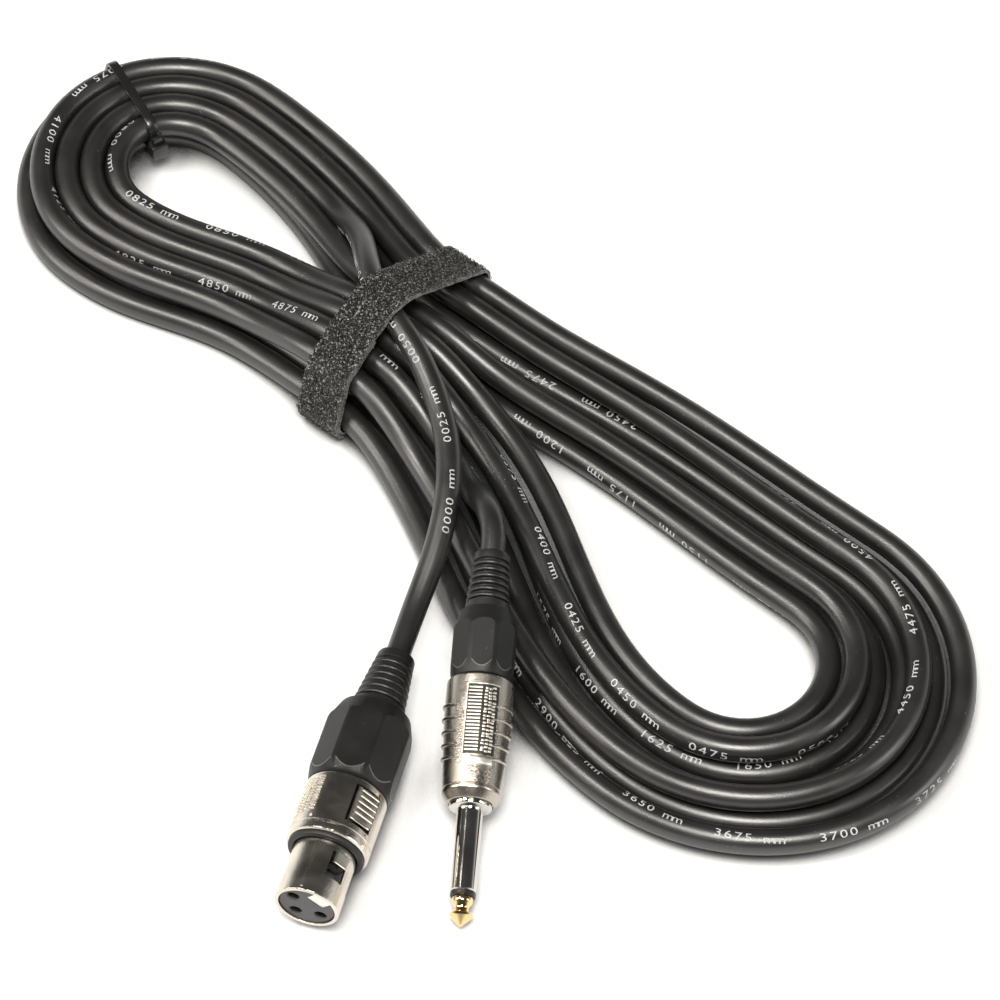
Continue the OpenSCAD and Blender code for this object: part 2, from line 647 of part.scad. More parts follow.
module plug_washer() color("#8a5a36") at_plug(plug_roll)
    pipe(flange_r - 0.9, rod_r + seat, lug_z - washer_t, lug_z);
module plug_tip_lug() color("#c9b26a") at_plug(plug_roll) {
    pipe(rod_r + 1.2, rod_r + seat, lug_z - washer_t - lug_t, lug_z - washer_t);
    block(2.4, rod_r + 0.4, rod_r + 1.2, lug_z - washer_t - 8, lug_z - washer_t);
}
module plug_chuck() color("#d9d8d2") at_plug()
    chuck(plug_chuck_z, plug_chuck_end_z, plug_tail_bore_r - seat, 4);
module plug_gland() color("#1a1a1b") at_plug()
    gland_nut(plug_gland_z, plug_gland_len - slip, plug_gland_af, plug_gland_bore_r,
        boot_neck(plug_boot_front_d) + neck_gap, plug_gland_wall);
module plug_boot() color("#1a1a1b") at_plug()
    ribbed_boot(plug_boot_len, plug_boot_rear_d, plug_boot_front_d, plug_gland_wall);
module plug_core() color("#b3282d") at_plug(plug_roll)
    strut([0, core_spread, plug_jacket_z + core_gap],
        [0, rod_r + 0.8, lug_z - washer_t - 8 - 4 * seat], core_r);
module plug_screen() color("#b87a4b") at_plug(plug_roll)
    strut([0, -core_spread, plug_jacket_z + core_gap],
        [0, 0.35 - flange_r, barrel_z + 6 - 4 * seat], core_r);

// Least gap of the cable to itself, measured on points
gap_steps = 96;
gap_apart = 12;
gap_points = [for (i = [ceil(turns_first * gap_steps) : floor(turns_last * gap_steps)])
    turn_at(i / gap_steps)];
least_gap = min([for (i = [0 : len(gap_points) - 1 - gap_apart]) min(
    [for (j = [i + gap_apart : len(gap_points) - 1]) norm(gap_points[i] - gap_points[j])])]) - cable_d;
function lead_gap(path) = min([for (i = [3 : len(path) - 1]) min(
    [for (q = gap_points) norm(path[i] - q)])]) - cable_d;
echo(least_gap = least_gap);
echo(socket_lead_gap = lead_gap(socket_lead_path), plug_lead_gap = lead_gap(plug_lead_path));
echo(hank_length = sum_of([for (i = [1 : len(gap_points) - 1]) norm(gap_points[i] - gap_points[i - 1])]));
function sum_of(v) = v * [for (i = v) 1];

cable_hank();
socket_lead();
plug_lead();
strap();
cable_tie();
socket_shell();
socket_insert();
socket_contact_1();
socket_contact_2();
socket_contact_3();
socket_latch();
socket_latch_pin();
socket_latch_spring();
socket_ring();
socket_chuck();
socket_gland();
socket_boot();
socket_core_red();
socket_core_white();
socket_screen();
plug_barrel();
plug_sleeve();
plug_liner();
plug_tip();
plug_ground_lug();
plug_washer();
plug_tip_lug();
plug_chuck();
plug_gland();
plug_boot();
plug_core();
plug_screen();
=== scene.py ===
"""Looks of a hanked microphone cable and its two connectors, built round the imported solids.

Pieces are modelled in millimetres in their own frame, and are put in place in metres.
"""

from __future__ import annotations

import json
import logging
import math
from dataclasses import dataclass, field
from enum import Enum
from typing import Callable, Iterable, Sequence

import bmesh
import bpy
import numpy as np
from mathutils import Matrix, Vector

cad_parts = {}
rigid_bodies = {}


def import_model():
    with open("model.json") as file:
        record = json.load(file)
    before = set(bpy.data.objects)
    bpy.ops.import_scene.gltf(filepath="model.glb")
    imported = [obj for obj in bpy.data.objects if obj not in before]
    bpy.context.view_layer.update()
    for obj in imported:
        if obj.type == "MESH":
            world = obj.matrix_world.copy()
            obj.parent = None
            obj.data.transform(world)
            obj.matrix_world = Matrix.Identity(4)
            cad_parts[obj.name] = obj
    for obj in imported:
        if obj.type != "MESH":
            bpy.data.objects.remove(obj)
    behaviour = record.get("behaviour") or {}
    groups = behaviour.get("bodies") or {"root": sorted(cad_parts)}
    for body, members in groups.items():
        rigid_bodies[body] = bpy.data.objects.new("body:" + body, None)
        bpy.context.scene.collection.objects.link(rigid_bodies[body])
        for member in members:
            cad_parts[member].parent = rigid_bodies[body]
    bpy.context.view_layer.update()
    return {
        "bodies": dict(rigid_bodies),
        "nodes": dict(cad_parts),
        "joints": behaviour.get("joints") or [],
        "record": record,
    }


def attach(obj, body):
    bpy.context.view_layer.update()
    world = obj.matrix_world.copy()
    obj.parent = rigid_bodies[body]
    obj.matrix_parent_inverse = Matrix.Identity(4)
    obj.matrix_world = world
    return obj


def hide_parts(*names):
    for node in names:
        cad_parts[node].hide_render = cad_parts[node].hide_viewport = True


LOG = logging.getLogger("hank")
MM = 0.001
TO_METRES = Matrix.Scale(MM, 4)
SMOOTH_ANGLE = math.radians(32)
BEVEL_ANGLE = math.radians(50)
# Millimetres: a profile's radius on the axis, and how near corners lie that are merged.
AXIS = 0.001
MERGE = 0.002
# An edge's share of Z from which it counts as upright.
UPRIGHT = 0.9
# Heights of a finish's clouds between which it changes.
MOTTLE = (0.3, 0.7)
Profile = Sequence[tuple[float, float]]
Pair = tuple[float, float]
Triple = tuple[float, float, float]
Colour = Triple
Material, Object, Socket = bpy.types.Material, bpy.types.Object, bpy.types.NodeSocket


class Body(Enum):
    """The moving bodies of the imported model."""

    CABLE = "cable"
    LATCH = "latch"
    SOCKET_BOOT = "socket_boot"
    SOCKET_GLAND = "socket_gland"
    PLUG_BOOT = "plug_boot"
    PLUG_GLAND = "plug_gland"


class Cut(Enum):
    """How one solid works on another."""

    AWAY = "DIFFERENCE"
    COMMON = "INTERSECT"
    ONTO = "UNION"


def free_hands() -> None:
    """Leave edit mode and deselect everything."""
    active = bpy.context.view_layer.objects.active
    if active is not None and active.mode != "OBJECT":
        bpy.ops.object.mode_set(mode="OBJECT")
    bpy.ops.object.select_all(action="DESELECT")


def distances(line: np.ndarray) -> np.ndarray:
    """Distance along a line at each of its points."""
    return np.concatenate([[0], np.cumsum(np.linalg.norm(np.diff(line, axis=0), axis=1))])


def sampled(at: np.ndarray, along: np.ndarray, rows: np.ndarray) -> np.ndarray:
    """Rows read off between those given.

    Args:
        at: the distances asked for.
        along: the distance of each given row.
        rows: the given rows.
    Returns:
        One row for each distance asked for.
    """
    return np.stack([np.interp(at, along, column) for column in rows.T], axis=1)


def unit(rows: np.ndarray) -> np.ndarray:
    """Directions brought to length 1, one in each row."""
    return rows / np.linalg.norm(rows, axis=1)[:, None]


def on_table(points: np.ndarray) -> np.ndarray:
    """Points of which none lies below the table."""
    return np.column_stack([points[:, :2], np.maximum(points[:, 2], 0)])


class Bench:
    """One piece on the bench, shaped with Blender's own operators in millimetres."""

    def __init__(self, obj: Object, name: str) -> None:
        """Take an object onto the bench.

        Args:
            obj: the object to shape.
            name: its name as a piece.
        """
        self.obj = obj
        obj.name = name
        obj.data.name = name

    @classmethod
    def fresh(cls, name: str) -> Bench:
        """Take the primitive that was just added, with its place put into its mesh.

        Args:
            name: the piece's name.
        Returns:
            The piece on the bench.
        """
        piece = cls(bpy.context.view_layer.objects.active, name)
        bpy.ops.object.transform_apply(location=True, rotation=True, scale=True)
        return piece

    @classmethod
    def turned(cls, name: str, profile: Profile, sides: int = 96) -> Bench:
        """Turn a closed profile round the Z axis, station by station.

        Args:
            name: the piece's name.
            profile: (radius, z) stations; the last meets the first, or both lie on the axis.
            sides: how many sides the round has.
        Returns:
            The turned piece.
        """
        free_hands()
        radius, z = profile[0]
        bpy.ops.mesh.primitive_circle_add(vertices=sides, radius=radius, location=(0, 0, z))
        piece = cls.fresh(name)
        piece.enter()
        for new_radius, new_z in profile[1:]:
            bpy.ops.mesh.extrude_edges_move(TRANSFORM_OT_translate={"value": (0, 0, new_z - z)})
            share = new_radius / radius
            bpy.ops.transform.resize(value=(share, share, 1), center_override=(0, 0, 0))
            radius, z = new_radius, new_z
        piece.close()
        return piece

    @classmethod
    def cube(cls, name: str, low: Sequence[float], high: Sequence[float], bevel: float = 0.0) -> Bench:
        """Add a box between two corners, with its edges rounded.

        Args:
            name: the piece's name.
            low: the lowest corner.
            high: the highest corner.
            bevel: radius of the rounded edges.
        Returns:
            The box.
        """
        free_hands()
        middle = [(a + b) / 2 for a, b in zip(low, high)]
        bpy.ops.mesh.primitive_cube_add(size=1, location=middle)
        bpy.context.view_layer.objects.active.scale = [b - a for a, b in zip(low, high)]
        piece = cls.fresh(name)
        if bevel > 0:
            piece.enter()
            bpy.ops.mesh.bevel(offset=bevel, segments=2, affect="EDGES", clamp_overlap=True)
            piece.leave()
        return piece

    @classmethod
    def rod(cls, name: str, radius: float, low: Sequence[float], length: float, sides: int = 32,
            along_x: bool = False) -> Bench:
        """Add a round bar that starts at a point and runs along Z, or along X.

        Args:
            name: the piece's name.
            radius: the bar's radius.
            low: the middle of its first end.
            length: its length.
            sides: how many sides the round has.
            along_x: whether it lies along X.
        Returns:
            The bar.
        """
        free_hands()
        half = Vector((length / 2, 0, 0) if along_x else (0, 0, length / 2))
        turn = (0, math.pi / 2, 0) if along_x else (0, 0, 0)
        bpy.ops.mesh.primitive_cylinder_add(vertices=sides, radius=radius, depth=length,
                                            location=Vector(low) + half, rotation=turn)
        return cls.fresh(name)

    @classmethod
    def plate(cls, name: str, wide: float, long: float, cells: tuple[int, int]) -> Bench:
        """Add a flat grid across Y and along Z, facing +X, centred on the origin.

        Args:
            name: the piece's name.
            wide: size across Y.
            long: size along Z.
            cells: cells across and along.
        Returns:
            The grid.
        """
        free_hands()
        bpy.ops.mesh.primitive_grid_add(x_subdivisions=cells[1], y_subdivisions=cells[0], size=1,
                                        rotation=(0, math.pi / 2, 0))
        bpy.context.view_layer.objects.active.scale = (long, wide, 1)
        return cls.fresh(name)

    @classmethod
    def made(cls, name: str, points: np.ndarray, faces: Iterable[Sequence[int]],
             edges: Iterable[Sequence[int]] = ()) -> Bench:
        """Take points and faces that were worked out in code onto the bench.

        Args:
            name: the piece's name.
            points: corners, one row each.
            faces: corner numbers of each face.
            edges: corner numbers of loose edges.
        Returns:
            The piece.
        """
        mesh = bpy.data.meshes.new(name)
        mesh.from_pydata([tuple(p) for p in points], list(edges), list(faces))
        obj = bpy.data.objects.new(name, mesh)
        bpy.context.scene.collection.objects.link(obj)
        return cls(obj, name)

    def hold(self) -> None:
        """Select this piece alone and make it active."""
        free_hands()
        self.obj.select_set(True)
        bpy.context.view_layer.objects.active = self.obj

    def enter(self) -> None:
        """Go into edit mode on this piece, with everything selected."""
        self.hold()
        bpy.ops.object.mode_set(mode="EDIT")
        bpy.ops.mesh.select_all(action="SELECT")

    def leave(self) -> None:
        """Go back to object mode."""
        bpy.ops.object.mode_set(mode="OBJECT")

    def face_outwards(self) -> None:
        """Turn all faces outwards and leave edit mode."""
        bpy.ops.mesh.select_all(action="SELECT")
        bpy.ops.mesh.normals_make_consistent(inside=False)
        self.leave()

    def close(self) -> None:
        """Merge doubled corners, turn the faces outwards and leave edit mode."""
        bpy.ops.mesh.select_all(action="SELECT")
        bpy.ops.mesh.remove_doubles(threshold=MERGE)
        self.face_outwards()

    def scrap(self) -> None:
        """Throw the piece away."""
        bpy.data.objects.remove(self.obj)

    def round_edges(self, test: Callable[[Vector, Vector], bool], offset: float, segments: int = 2) -> Bench:
        """Bevel the edges that pass a test.

        Args:
            test: says whether an edge with this middle and this direction is meant.
            offset: bevel width.
            segments: bevel steps.
        Returns:
            This piece.
        """
        self.enter()
        bpy.ops.mesh.select_mode(type="EDGE")
        bpy.ops.mesh.select_all(action="DESELECT")
        mesh = bmesh.from_edit_mesh(self.obj.data)
        for edge in mesh.edges:
            a, b = (corner.co for corner in edge.verts)
            if test((a + b) / 2, (b - a).normalized()):
                edge.select_set(True)
        mesh.select_flush_mode()
        bmesh.update_edit_mesh(self.obj.data)
        bpy.ops.mesh.bevel(offset=offset, segments=segments, affect="EDGES", clamp_overlap=True)
        self.leave()
        return self

    def modify(self, kind: str, **settings: object) -> Bench:
        """Add a modifier and apply it at once.

        Args:
            kind: the modifier's type.
            settings: its properties.
        Returns:
            This piece.
        """
        modifier = self.obj.modifiers.new(kind.lower(), kind)
        for key, value in settings.items():
            setattr(modifier, key, value)
        self.hold()
        bpy.ops.object.modifier_apply(modifier=modifier.name)
        return self

    def work(self, how: Cut, *tools: Bench) -> Bench:
        """Cut with, join onto or keep what is common with other solids, which are used up.

        Args:
            how: the kind of cut.
            tools: the other solids.
        Returns:
            This piece.
        """
        for tool in tools:
            self.modify("BOOLEAN", operation=how.value, object=tool.obj, solver="EXACT")
            tool.scrap()
        return self

    def soften(self, width: float) -> Bench:
        """Round the piece's sharp edges."""
        return self.modify("BEVEL", width=width, segments=2, limit_method="ANGLE", angle_limit=BEVEL_ANGLE)

    def copy(self, shift: Sequence[float]) -> Bench:
        """Copy the piece, with a mesh of its own, and shift the copy.

        Args:
            shift: how far the copy moves.
        Returns:
            The copy.
        """
        twin = self.obj.copy()
        twin.data = self.obj.data.copy()
        bpy.context.scene.collection.objects.link(twin)
        twin.data.transform(Matrix.Translation(shift))
        return Bench(twin, self.obj.name + "_next")

    def add(self, *others: Bench) -> Bench:
        """Join other pieces into this one.

        Args:
            others: the pieces that join.
        Returns:
            This piece.
        """
        self.hold()
        for other in others:
            other.obj.select_set(True)
        bpy.ops.object.join()
        return self

    @staticmethod
    def joined(name: str, pieces: Sequence[Bench]) -> Bench:
        """Join pieces into one, under a name of its own."""
        pieces[0].obj.name = name
        return pieces[0].add(*pieces[1:])

    def points(self) -> np.ndarray:
        """The piece's corners, one row each.

        Returns:
            The corners.
        """
        flat = np.zeros(len(self.obj.data.vertices) * 3, np.float32)
        self.obj.data.vertices.foreach_get("co", flat)
        return flat.reshape(-1, 3).astype(float)

    def move_points(self, points: np.ndarray) -> Bench:
        """Give each corner a new place.

        Args:
            points: the new places, one row each.
        Returns:
            This piece.
        """
        self.obj.data.vertices.foreach_set("co", points.astype(np.float32).ravel())
        self.obj.data.update()
        return self

    def shift(self, step: Sequence[float]) -> Bench:
        """Move all corners by one step."""
        return self.move_points(self.points() + np.array(step))

    def wrap(self, radius: Callable[[np.ndarray], np.ndarray], towards: float, z: float) -> Bench:
        """Roll a piece that lies flat (X is height, Y is across) round the Z axis.

        Args:
            radius: radius under the piece for each z.
            towards: direction of its middle, in degrees.
            z: how far it moves along Z.
        Returns:
            This piece.
        """
        p = self.points()
        along = p[:, 2] + z
        r = radius(along)
        angle = math.radians(towards) + p[:, 1] / r
        out = r + p[:, 0]
        return self.move_points(np.stack([out * np.cos(angle), out * np.sin(angle), along], axis=1))

    def place(self, matrix: Matrix) -> Bench:
        """Put the piece in place, in metres, with its place in its mesh.

        Args:
            matrix: from the bench's frame to the object's.
        Returns:
            This piece.
        """
        self.hold()
        self.obj.matrix_world = matrix
        bpy.ops.object.transform_apply(location=True, rotation=True, scale=True)
        bpy.ops.object.shade_smooth_by_angle(angle=SMOOTH_ANGLE)
        return self

    def even_shade(self) -> Bench:
        """Let the large faces rule the shading, so that flats stay flat beside their bevels."""
        return self.modify("WEIGHTED_NORMAL", keep_sharp=True)

    def dress(self, finish: Material, body: Body, slot: str, *nodes: str) -> Object:
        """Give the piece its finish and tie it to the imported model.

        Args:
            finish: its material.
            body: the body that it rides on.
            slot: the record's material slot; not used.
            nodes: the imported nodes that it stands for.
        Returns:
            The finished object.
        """
        self.obj.data.materials.append(finish)
        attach(self.obj, body.value)
        if nodes:
            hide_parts(*nodes)
        LOG.info("%s: %d faces", self.obj.name, len(self.obj.data.polygons))
        return self.obj


class Nodes:
    """The node tree of a material or of the world, built up from nothing."""

    def __init__(self, owner: Material | bpy.types.World) -> None:
        """Clear the owner's tree.

        Args:
            owner: the material or the world.
        """
        owner.use_nodes = True
        self.tree = owner.node_tree
        self.tree.nodes.clear()

    def feed(self, target: Socket, value: object) -> None:
        """Link a socket to another, or set it to a constant.

        Args:
            target: the socket that takes the value.
            value: another node's output, or a constant.
        """
        if isinstance(value, Socket):
            self.tree.links.new(value, target)
        else:
            target.default_value = value

    def node(self, kind: str, **values: object) -> bpy.types.Node:
        """Add a node, set its properties and feed its inputs by name.

        Args:
            kind: the node's type, without its prefix.
            values: properties, or inputs with spaces written as underscores.
        Returns:
            The node.
        """
        made = self.tree.nodes.new("ShaderNode" + kind)
        for key, value in values.items():
            if hasattr(made, key):
                setattr(made, key, value)
            else:
                self.feed(made.inputs[key.replace("_", " ")], value)
        return made

    def mixed(self, kind: str, inputs: dict[int, object], **values: object) -> bpy.types.Node:
        """Add a node whose inputs share names, and feed them by number.

        Args:
            kind: the node's type, without its prefix.
            inputs: what each numbered input takes.
            values: properties of the node.
        Returns:
            The node.
        """
        made = self.node(kind, **values)
        for index, value in inputs.items():
            self.feed(made.inputs[index], value)
        return made

    def math(self, operation: str, first: object, second: object) -> Socket:
        """Work two values into one."""
        return self.mixed("Math", {0: first, 1: second}, operation=operation).outputs[0]

    def ramp(self, height: Socket, *stops: tuple[float, Sequence[float]]) -> Socket:
        """Colours between heights.

        Args:
            height: what it reads.
            stops: each height and its colour: the first, the last, then those between.
        Returns:
            The colour.
        """
        made = self.node("ValToRGB", Fac=height)
        ends = made.color_ramp.elements
        for k, (at, colour) in enumerate(stops):
            if k < 2:
                stop = ends[k]
                stop.position = at
            else:
                stop = ends.new(at)
            stop.color = (*colour, 1)
        return made.outputs["Color"]


class Graph(Nodes):
    """A material's node tree, from its shader back."""

    def __init__(self, name: str) -> None:
        """Start a material with one shader.

        Args:
            name: the material's name.
        """
        self.material = bpy.data.materials.new(name)
        super().__init__(self.material)
        self.shader = self.node("BsdfPrincipled")
        self.node("OutputMaterial", Surface=self.shader.outputs["BSDF"])
        self.where = self.node("TexCoord").outputs["Object"]

    def noise(self, scale: float, detail: float = 2.0) -> Socket:
        """The height of a noise over the piece, with so many features per metre."""
        return self.node("TexNoise", Scale=scale, Detail=detail, Vector=self.where).outputs["Fac"]

    def cells(self, scale: float) -> Socket:
        """Distance in a cell pattern over the piece, with so many cells per metre."""
        return self.node("TexVoronoi", Scale=scale, Vector=self.where).outputs["Distance"]

    def span(self, height: Socket, read: Pair, given: Pair) -> Socket:
        """A height brought from one range to another.

        Args:
            height: what it reads.
            read: the least and the greatest height read.
            given: what they become.
        Returns:
            The new value.
        """
        made = self.node("MapRange", Value=height, From_Min=read[0], From_Max=read[1],
                         To_Min=given[0], To_Max=given[1])
        return made.outputs["Result"]

    def cover(self, share: Socket, below: Socket,
              above: Colour) -> Socket:
        """One colour laid over another, by a share."""
        return self.mixed("Mix", {0: share, 6: below, 7: (*above, 1)}, data_type="RGBA").outputs[2]

    def bump(self, height: Socket, depth: float) -> Socket:
        """The normal of a relief that is so many metres deep."""
        return self.node("Bump", Strength=1.0, Distance=depth, Height=height).outputs["Normal"]

    def shade(self, **sockets: object) -> Material:
        """Give the shader's sockets their constants or links.

        Args:
            sockets: socket names with spaces written as underscores.
        Returns:
            The finished material.
        """
        for key, value in sockets.items():
            self.feed(self.shader.inputs[key.replace("_", " ")], value)
        return self.material


@dataclass(frozen=True)
class Plastic:
    """A moulded plastic or rubber, with fine grain and a little dust; scales are per metre."""

    name: str
    dark: Colour
    light: Colour
    rough: Pair
    grain: float
    grain_depth: float
    dust: float = 0.0
    shine: float = 0.5
    clouds: float = 90.0
    specks: float = 620.0
    speck_edge: Pair = (0.05, 0.09)
    patches: float = 140.0
    patch_edge: Pair = (0.5, 0.62)
    dust_colour: Colour = (0.5, 0.48, 0.45)

    def material(self) -> Material:
        """Make the node material.

        Returns:
            The material.
        """
        g = Graph(self.name)
        cloud = g.noise(self.clouds, 3)
        colour = g.ramp(cloud, *zip(MOTTLE, (self.dark, self.light)))
        if self.dust > 0:
            specks = g.span(g.cells(self.specks), self.speck_edge, (self.dust, 0))
            patches = g.span(g.noise(self.patches), self.patch_edge, (0, 1))
            colour = g.cover(g.math("MULTIPLY", specks, patches), colour, self.dust_colour)
        return g.shade(Base_Color=colour, Roughness=g.span(cloud, MOTTLE, self.rough),
                       Specular_IOR_Level=self.shine, Normal=g.bump(g.noise(self.grain), self.grain_depth))


@dataclass(frozen=True)
class Metal:
    """A plated or turned metal with fine pits and smudges; scales are per metre."""

    name: str
    dull: Colour
    bright: Colour
    rough: Pair
    pits: float = 0.0
    grain: float = 1800.0
    smudges: float = 160.0

    def material(self) -> Material:
        """Make the node material.

        Returns:
            The material.
        """
        g = Graph(self.name)
        smudge = g.noise(self.smudges, 3)
        settings = {"Base_Color": g.ramp(smudge, *zip(MOTTLE, (self.dull, self.bright))),
                    "Roughness": g.span(smudge, MOTTLE, self.rough), "Metallic": 1.0}
        if self.pits > 0:
            settings["Normal"] = g.bump(g.noise(self.grain), self.pits)
        return g.shade(**settings)


@dataclass(frozen=True)
class Pile:
    """The strap's loop pile: near-black yarn with lighter spots, which are painted glints of its loops, and a
    soft sheen.
    """

    name: str
    dark: Colour
    light: Colour
    flecks: float = 1700.0
    fleck_edge: Pair = (0.55, 0.68)
    tufts: float = 1500.0
    tuft_depth: float = 0.0005
    rough: float = 0.5
    sheen: float = 0.04
    sheen_rough: float = 0.5

    def material(self) -> Material:
        """Make the node material.

        Returns:
            The material.
        """
        g = Graph(self.name)
        # The lighter spots are painted glints of the nylon loops.
        colour = g.ramp(g.noise(self.flecks), *zip(self.fleck_edge, (self.dark, self.light)))
        return g.shade(Base_Color=colour, Roughness=self.rough, Sheen_Weight=self.sheen,
                       Sheen_Roughness=self.sheen_rough, Normal=g.bump(g.cells(self.tufts), self.tuft_depth))


@dataclass(frozen=True)
class Finishes:
    """Every finish of the object."""

    jacket: Plastic = Plastic("jacket_pvc", (0.0078, 0.0078, 0.0075), (0.0138, 0.0135, 0.0128), (0.32, 0.40),
                              2600, 0.00003, 0.5, 1.0)
    ink: Plastic = Plastic("print_ink", (0.30, 0.31, 0.32), (0.58, 0.59, 0.60), (0.5, 0.6), 2600, 0.00001)
    nylon: Plastic = Plastic("tie_nylon", (0.009, 0.009, 0.010), (0.014, 0.014, 0.014), (0.22, 0.30),
                             900, 0.00001, 0.0, 0.6)
    gland: Plastic = Plastic("gland_plastic", (0.0045, 0.0045, 0.0046), (0.008, 0.008, 0.008), (0.38, 0.48),
                             3200, 0.00005, 0.35, 0.4)
    # A lighter plastic on the gland nuts' arched edges: a painted highlight.
    edge: Plastic = Plastic("worn_edge", (0.05, 0.05, 0.05), (0.095, 0.095, 0.093), (0.28, 0.36),
                            3200, 0.00002)
    boot: Plastic = Plastic("boot_rubber", (0.006, 0.006, 0.0062), (0.010, 0.010, 0.010), (0.36, 0.46),
                            2800, 0.00003, 0.35, 0.6)
    ring: Plastic = Plastic("ring_rubber", (0.008, 0.008, 0.008), (0.012, 0.012, 0.012), (0.45, 0.55),
                            2200, 0.00002)
    insert: Plastic = Plastic("insert_plastic", (0.055, 0.056, 0.060), (0.075, 0.076, 0.080), (0.5, 0.6),
                              2600, 0.00003)
    liner: Plastic = Plastic("liner_plastic", (0.008, 0.008, 0.008), (0.012, 0.012, 0.012), (0.35, 0.45),
                             1800, 0.00001)
    chuck: Plastic = Plastic("chuck_plastic", (0.62, 0.61, 0.57), (0.70, 0.69, 0.65), (0.4, 0.5),
                             1800, 0.00002)
    washer: Plastic = Plastic("washer_fibre", (0.20, 0.10, 0.05), (0.27, 0.14, 0.07), (0.7, 0.8),
                              1400, 0.00003)
    core_red: Plastic = Plastic("core_red", (0.38, 0.02, 0.025), (0.45, 0.03, 0.03), (0.4, 0.5),
                                1800, 0.00002)
    core_white: Plastic = Plastic("core_white", (0.72, 0.71, 0.67), (0.78, 0.77, 0.73), (0.4, 0.5),
                                  1800, 0.00002)
    nickel: Metal = Metal("shell_nickel", (0.58, 0.54, 0.47), (0.74, 0.69, 0.61), (0.15, 0.24), 0.00006, 2400)
    cast: Metal = Metal("cast_nickel", (0.44, 0.405, 0.35), (0.58, 0.54, 0.47), (0.22, 0.31), 0.00006, 2900)
    pad: Metal = Metal("pad_nickel", (0.76, 0.72, 0.64), (0.90, 0.86, 0.78), (0.30, 0.40), 0.00002, 2600)
    # Dark ground of the plug's panel: painted shade of the recesses between ribs and studs, with dirt.
    recess: Metal = Metal("recess_nickel", (0.04, 0.038, 0.034), (0.09, 0.085, 0.075), (0.45, 0.55))
    steel: Metal = Metal("polished_nickel", (0.60, 0.58, 0.54), (0.68, 0.66, 0.62), (0.07, 0.12))
    latch: Metal = Metal("latch_nickel", (0.66, 0.62, 0.55), (0.76, 0.72, 0.65), (0.16, 0.26), 0.00001, 2200)
    spring: Metal = Metal("spring_steel", (0.50, 0.50, 0.50), (0.60, 0.60, 0.60), (0.22, 0.32))
    # Contacts much darker than brass: painted shade, so that the socket's holes read dark.
    contact: Metal = Metal("contact_brass", (0.16, 0.14, 0.10), (0.24, 0.21, 0.15), (0.35, 0.5))
    gold: Metal = Metal("tip_gold", (0.78, 0.58, 0.28), (0.90, 0.71, 0.38), (0.10, 0.18))
    copper: Metal = Metal("screen_copper", (0.55, 0.28, 0.15), (0.66, 0.35, 0.20), (0.3, 0.4))
    # The pile's lighter colour is for painted glints of its loops.
    strap: Pile = Pile("strap_pile", (0.004, 0.004, 0.004), (0.30, 0.29, 0.265))
    # A greyish selvedge on the strap's edges, made lighter as a painted highlight of the lit edge.
    selvedge: Plastic = Plastic("strap_selvedge", (0.11, 0.109, 0.105), (0.21, 0.207, 0.198), (0.6, 0.75),
                                3000, 0.00006)

    def materials(self) -> dict[str, Material]:
        """Make all of them, by field name."""
        return {key: getattr(self, key).material() for key in self.__dataclass_fields__}


Coats = dict[str, Material]


@dataclass(frozen=True)
class Seat:
    """Where a connector lies: the place of its boot's rear end, its turn, dip and roll."""

    place: Triple
    yaw: float
    dip: float
    roll: float = 0.0

    def matrix(self, rolled: bool = True) -> Matrix:
        """From the connector's frame in millimetres to the object's frame.

        Args:
            rolled: whether the roll about its own axis counts.
        Returns:
            The matrix.
        """
        turn = Matrix.Rotation(math.radians(self.yaw), 4, "Z") @ Matrix.Rotation(
            math.radians(90 + self.dip), 4, "Y")
        if rolled:
            turn = turn @ Matrix.Rotation(math.radians(self.roll), 4, "Z")
        return Matrix.Translation(Vector(self.place) * MM) @ turn @ TO_METRES

    def along(self, z: float) -> np.ndarray:
        """A point on the connector's axis, in millimetres of the object's frame."""
        return np.array(self.matrix(False) @ Vector((0, 0, z))) / MM


SOCKET_SEAT = Seat((67.5, -78.0, 11.3), -66.0, 1.0, 48.0)
PLUG_SEAT = Seat((70.6, -45.2, 22.4), -54.5, 11.6)


def ease(t: float) -> float:
    """A smooth step from 0 to 1."""
    return t * t * (3 - 2 * t)


def held(t: float) -> float:
    """A number kept between 0 and 1."""
    return max(0.0, min(1.0, t))


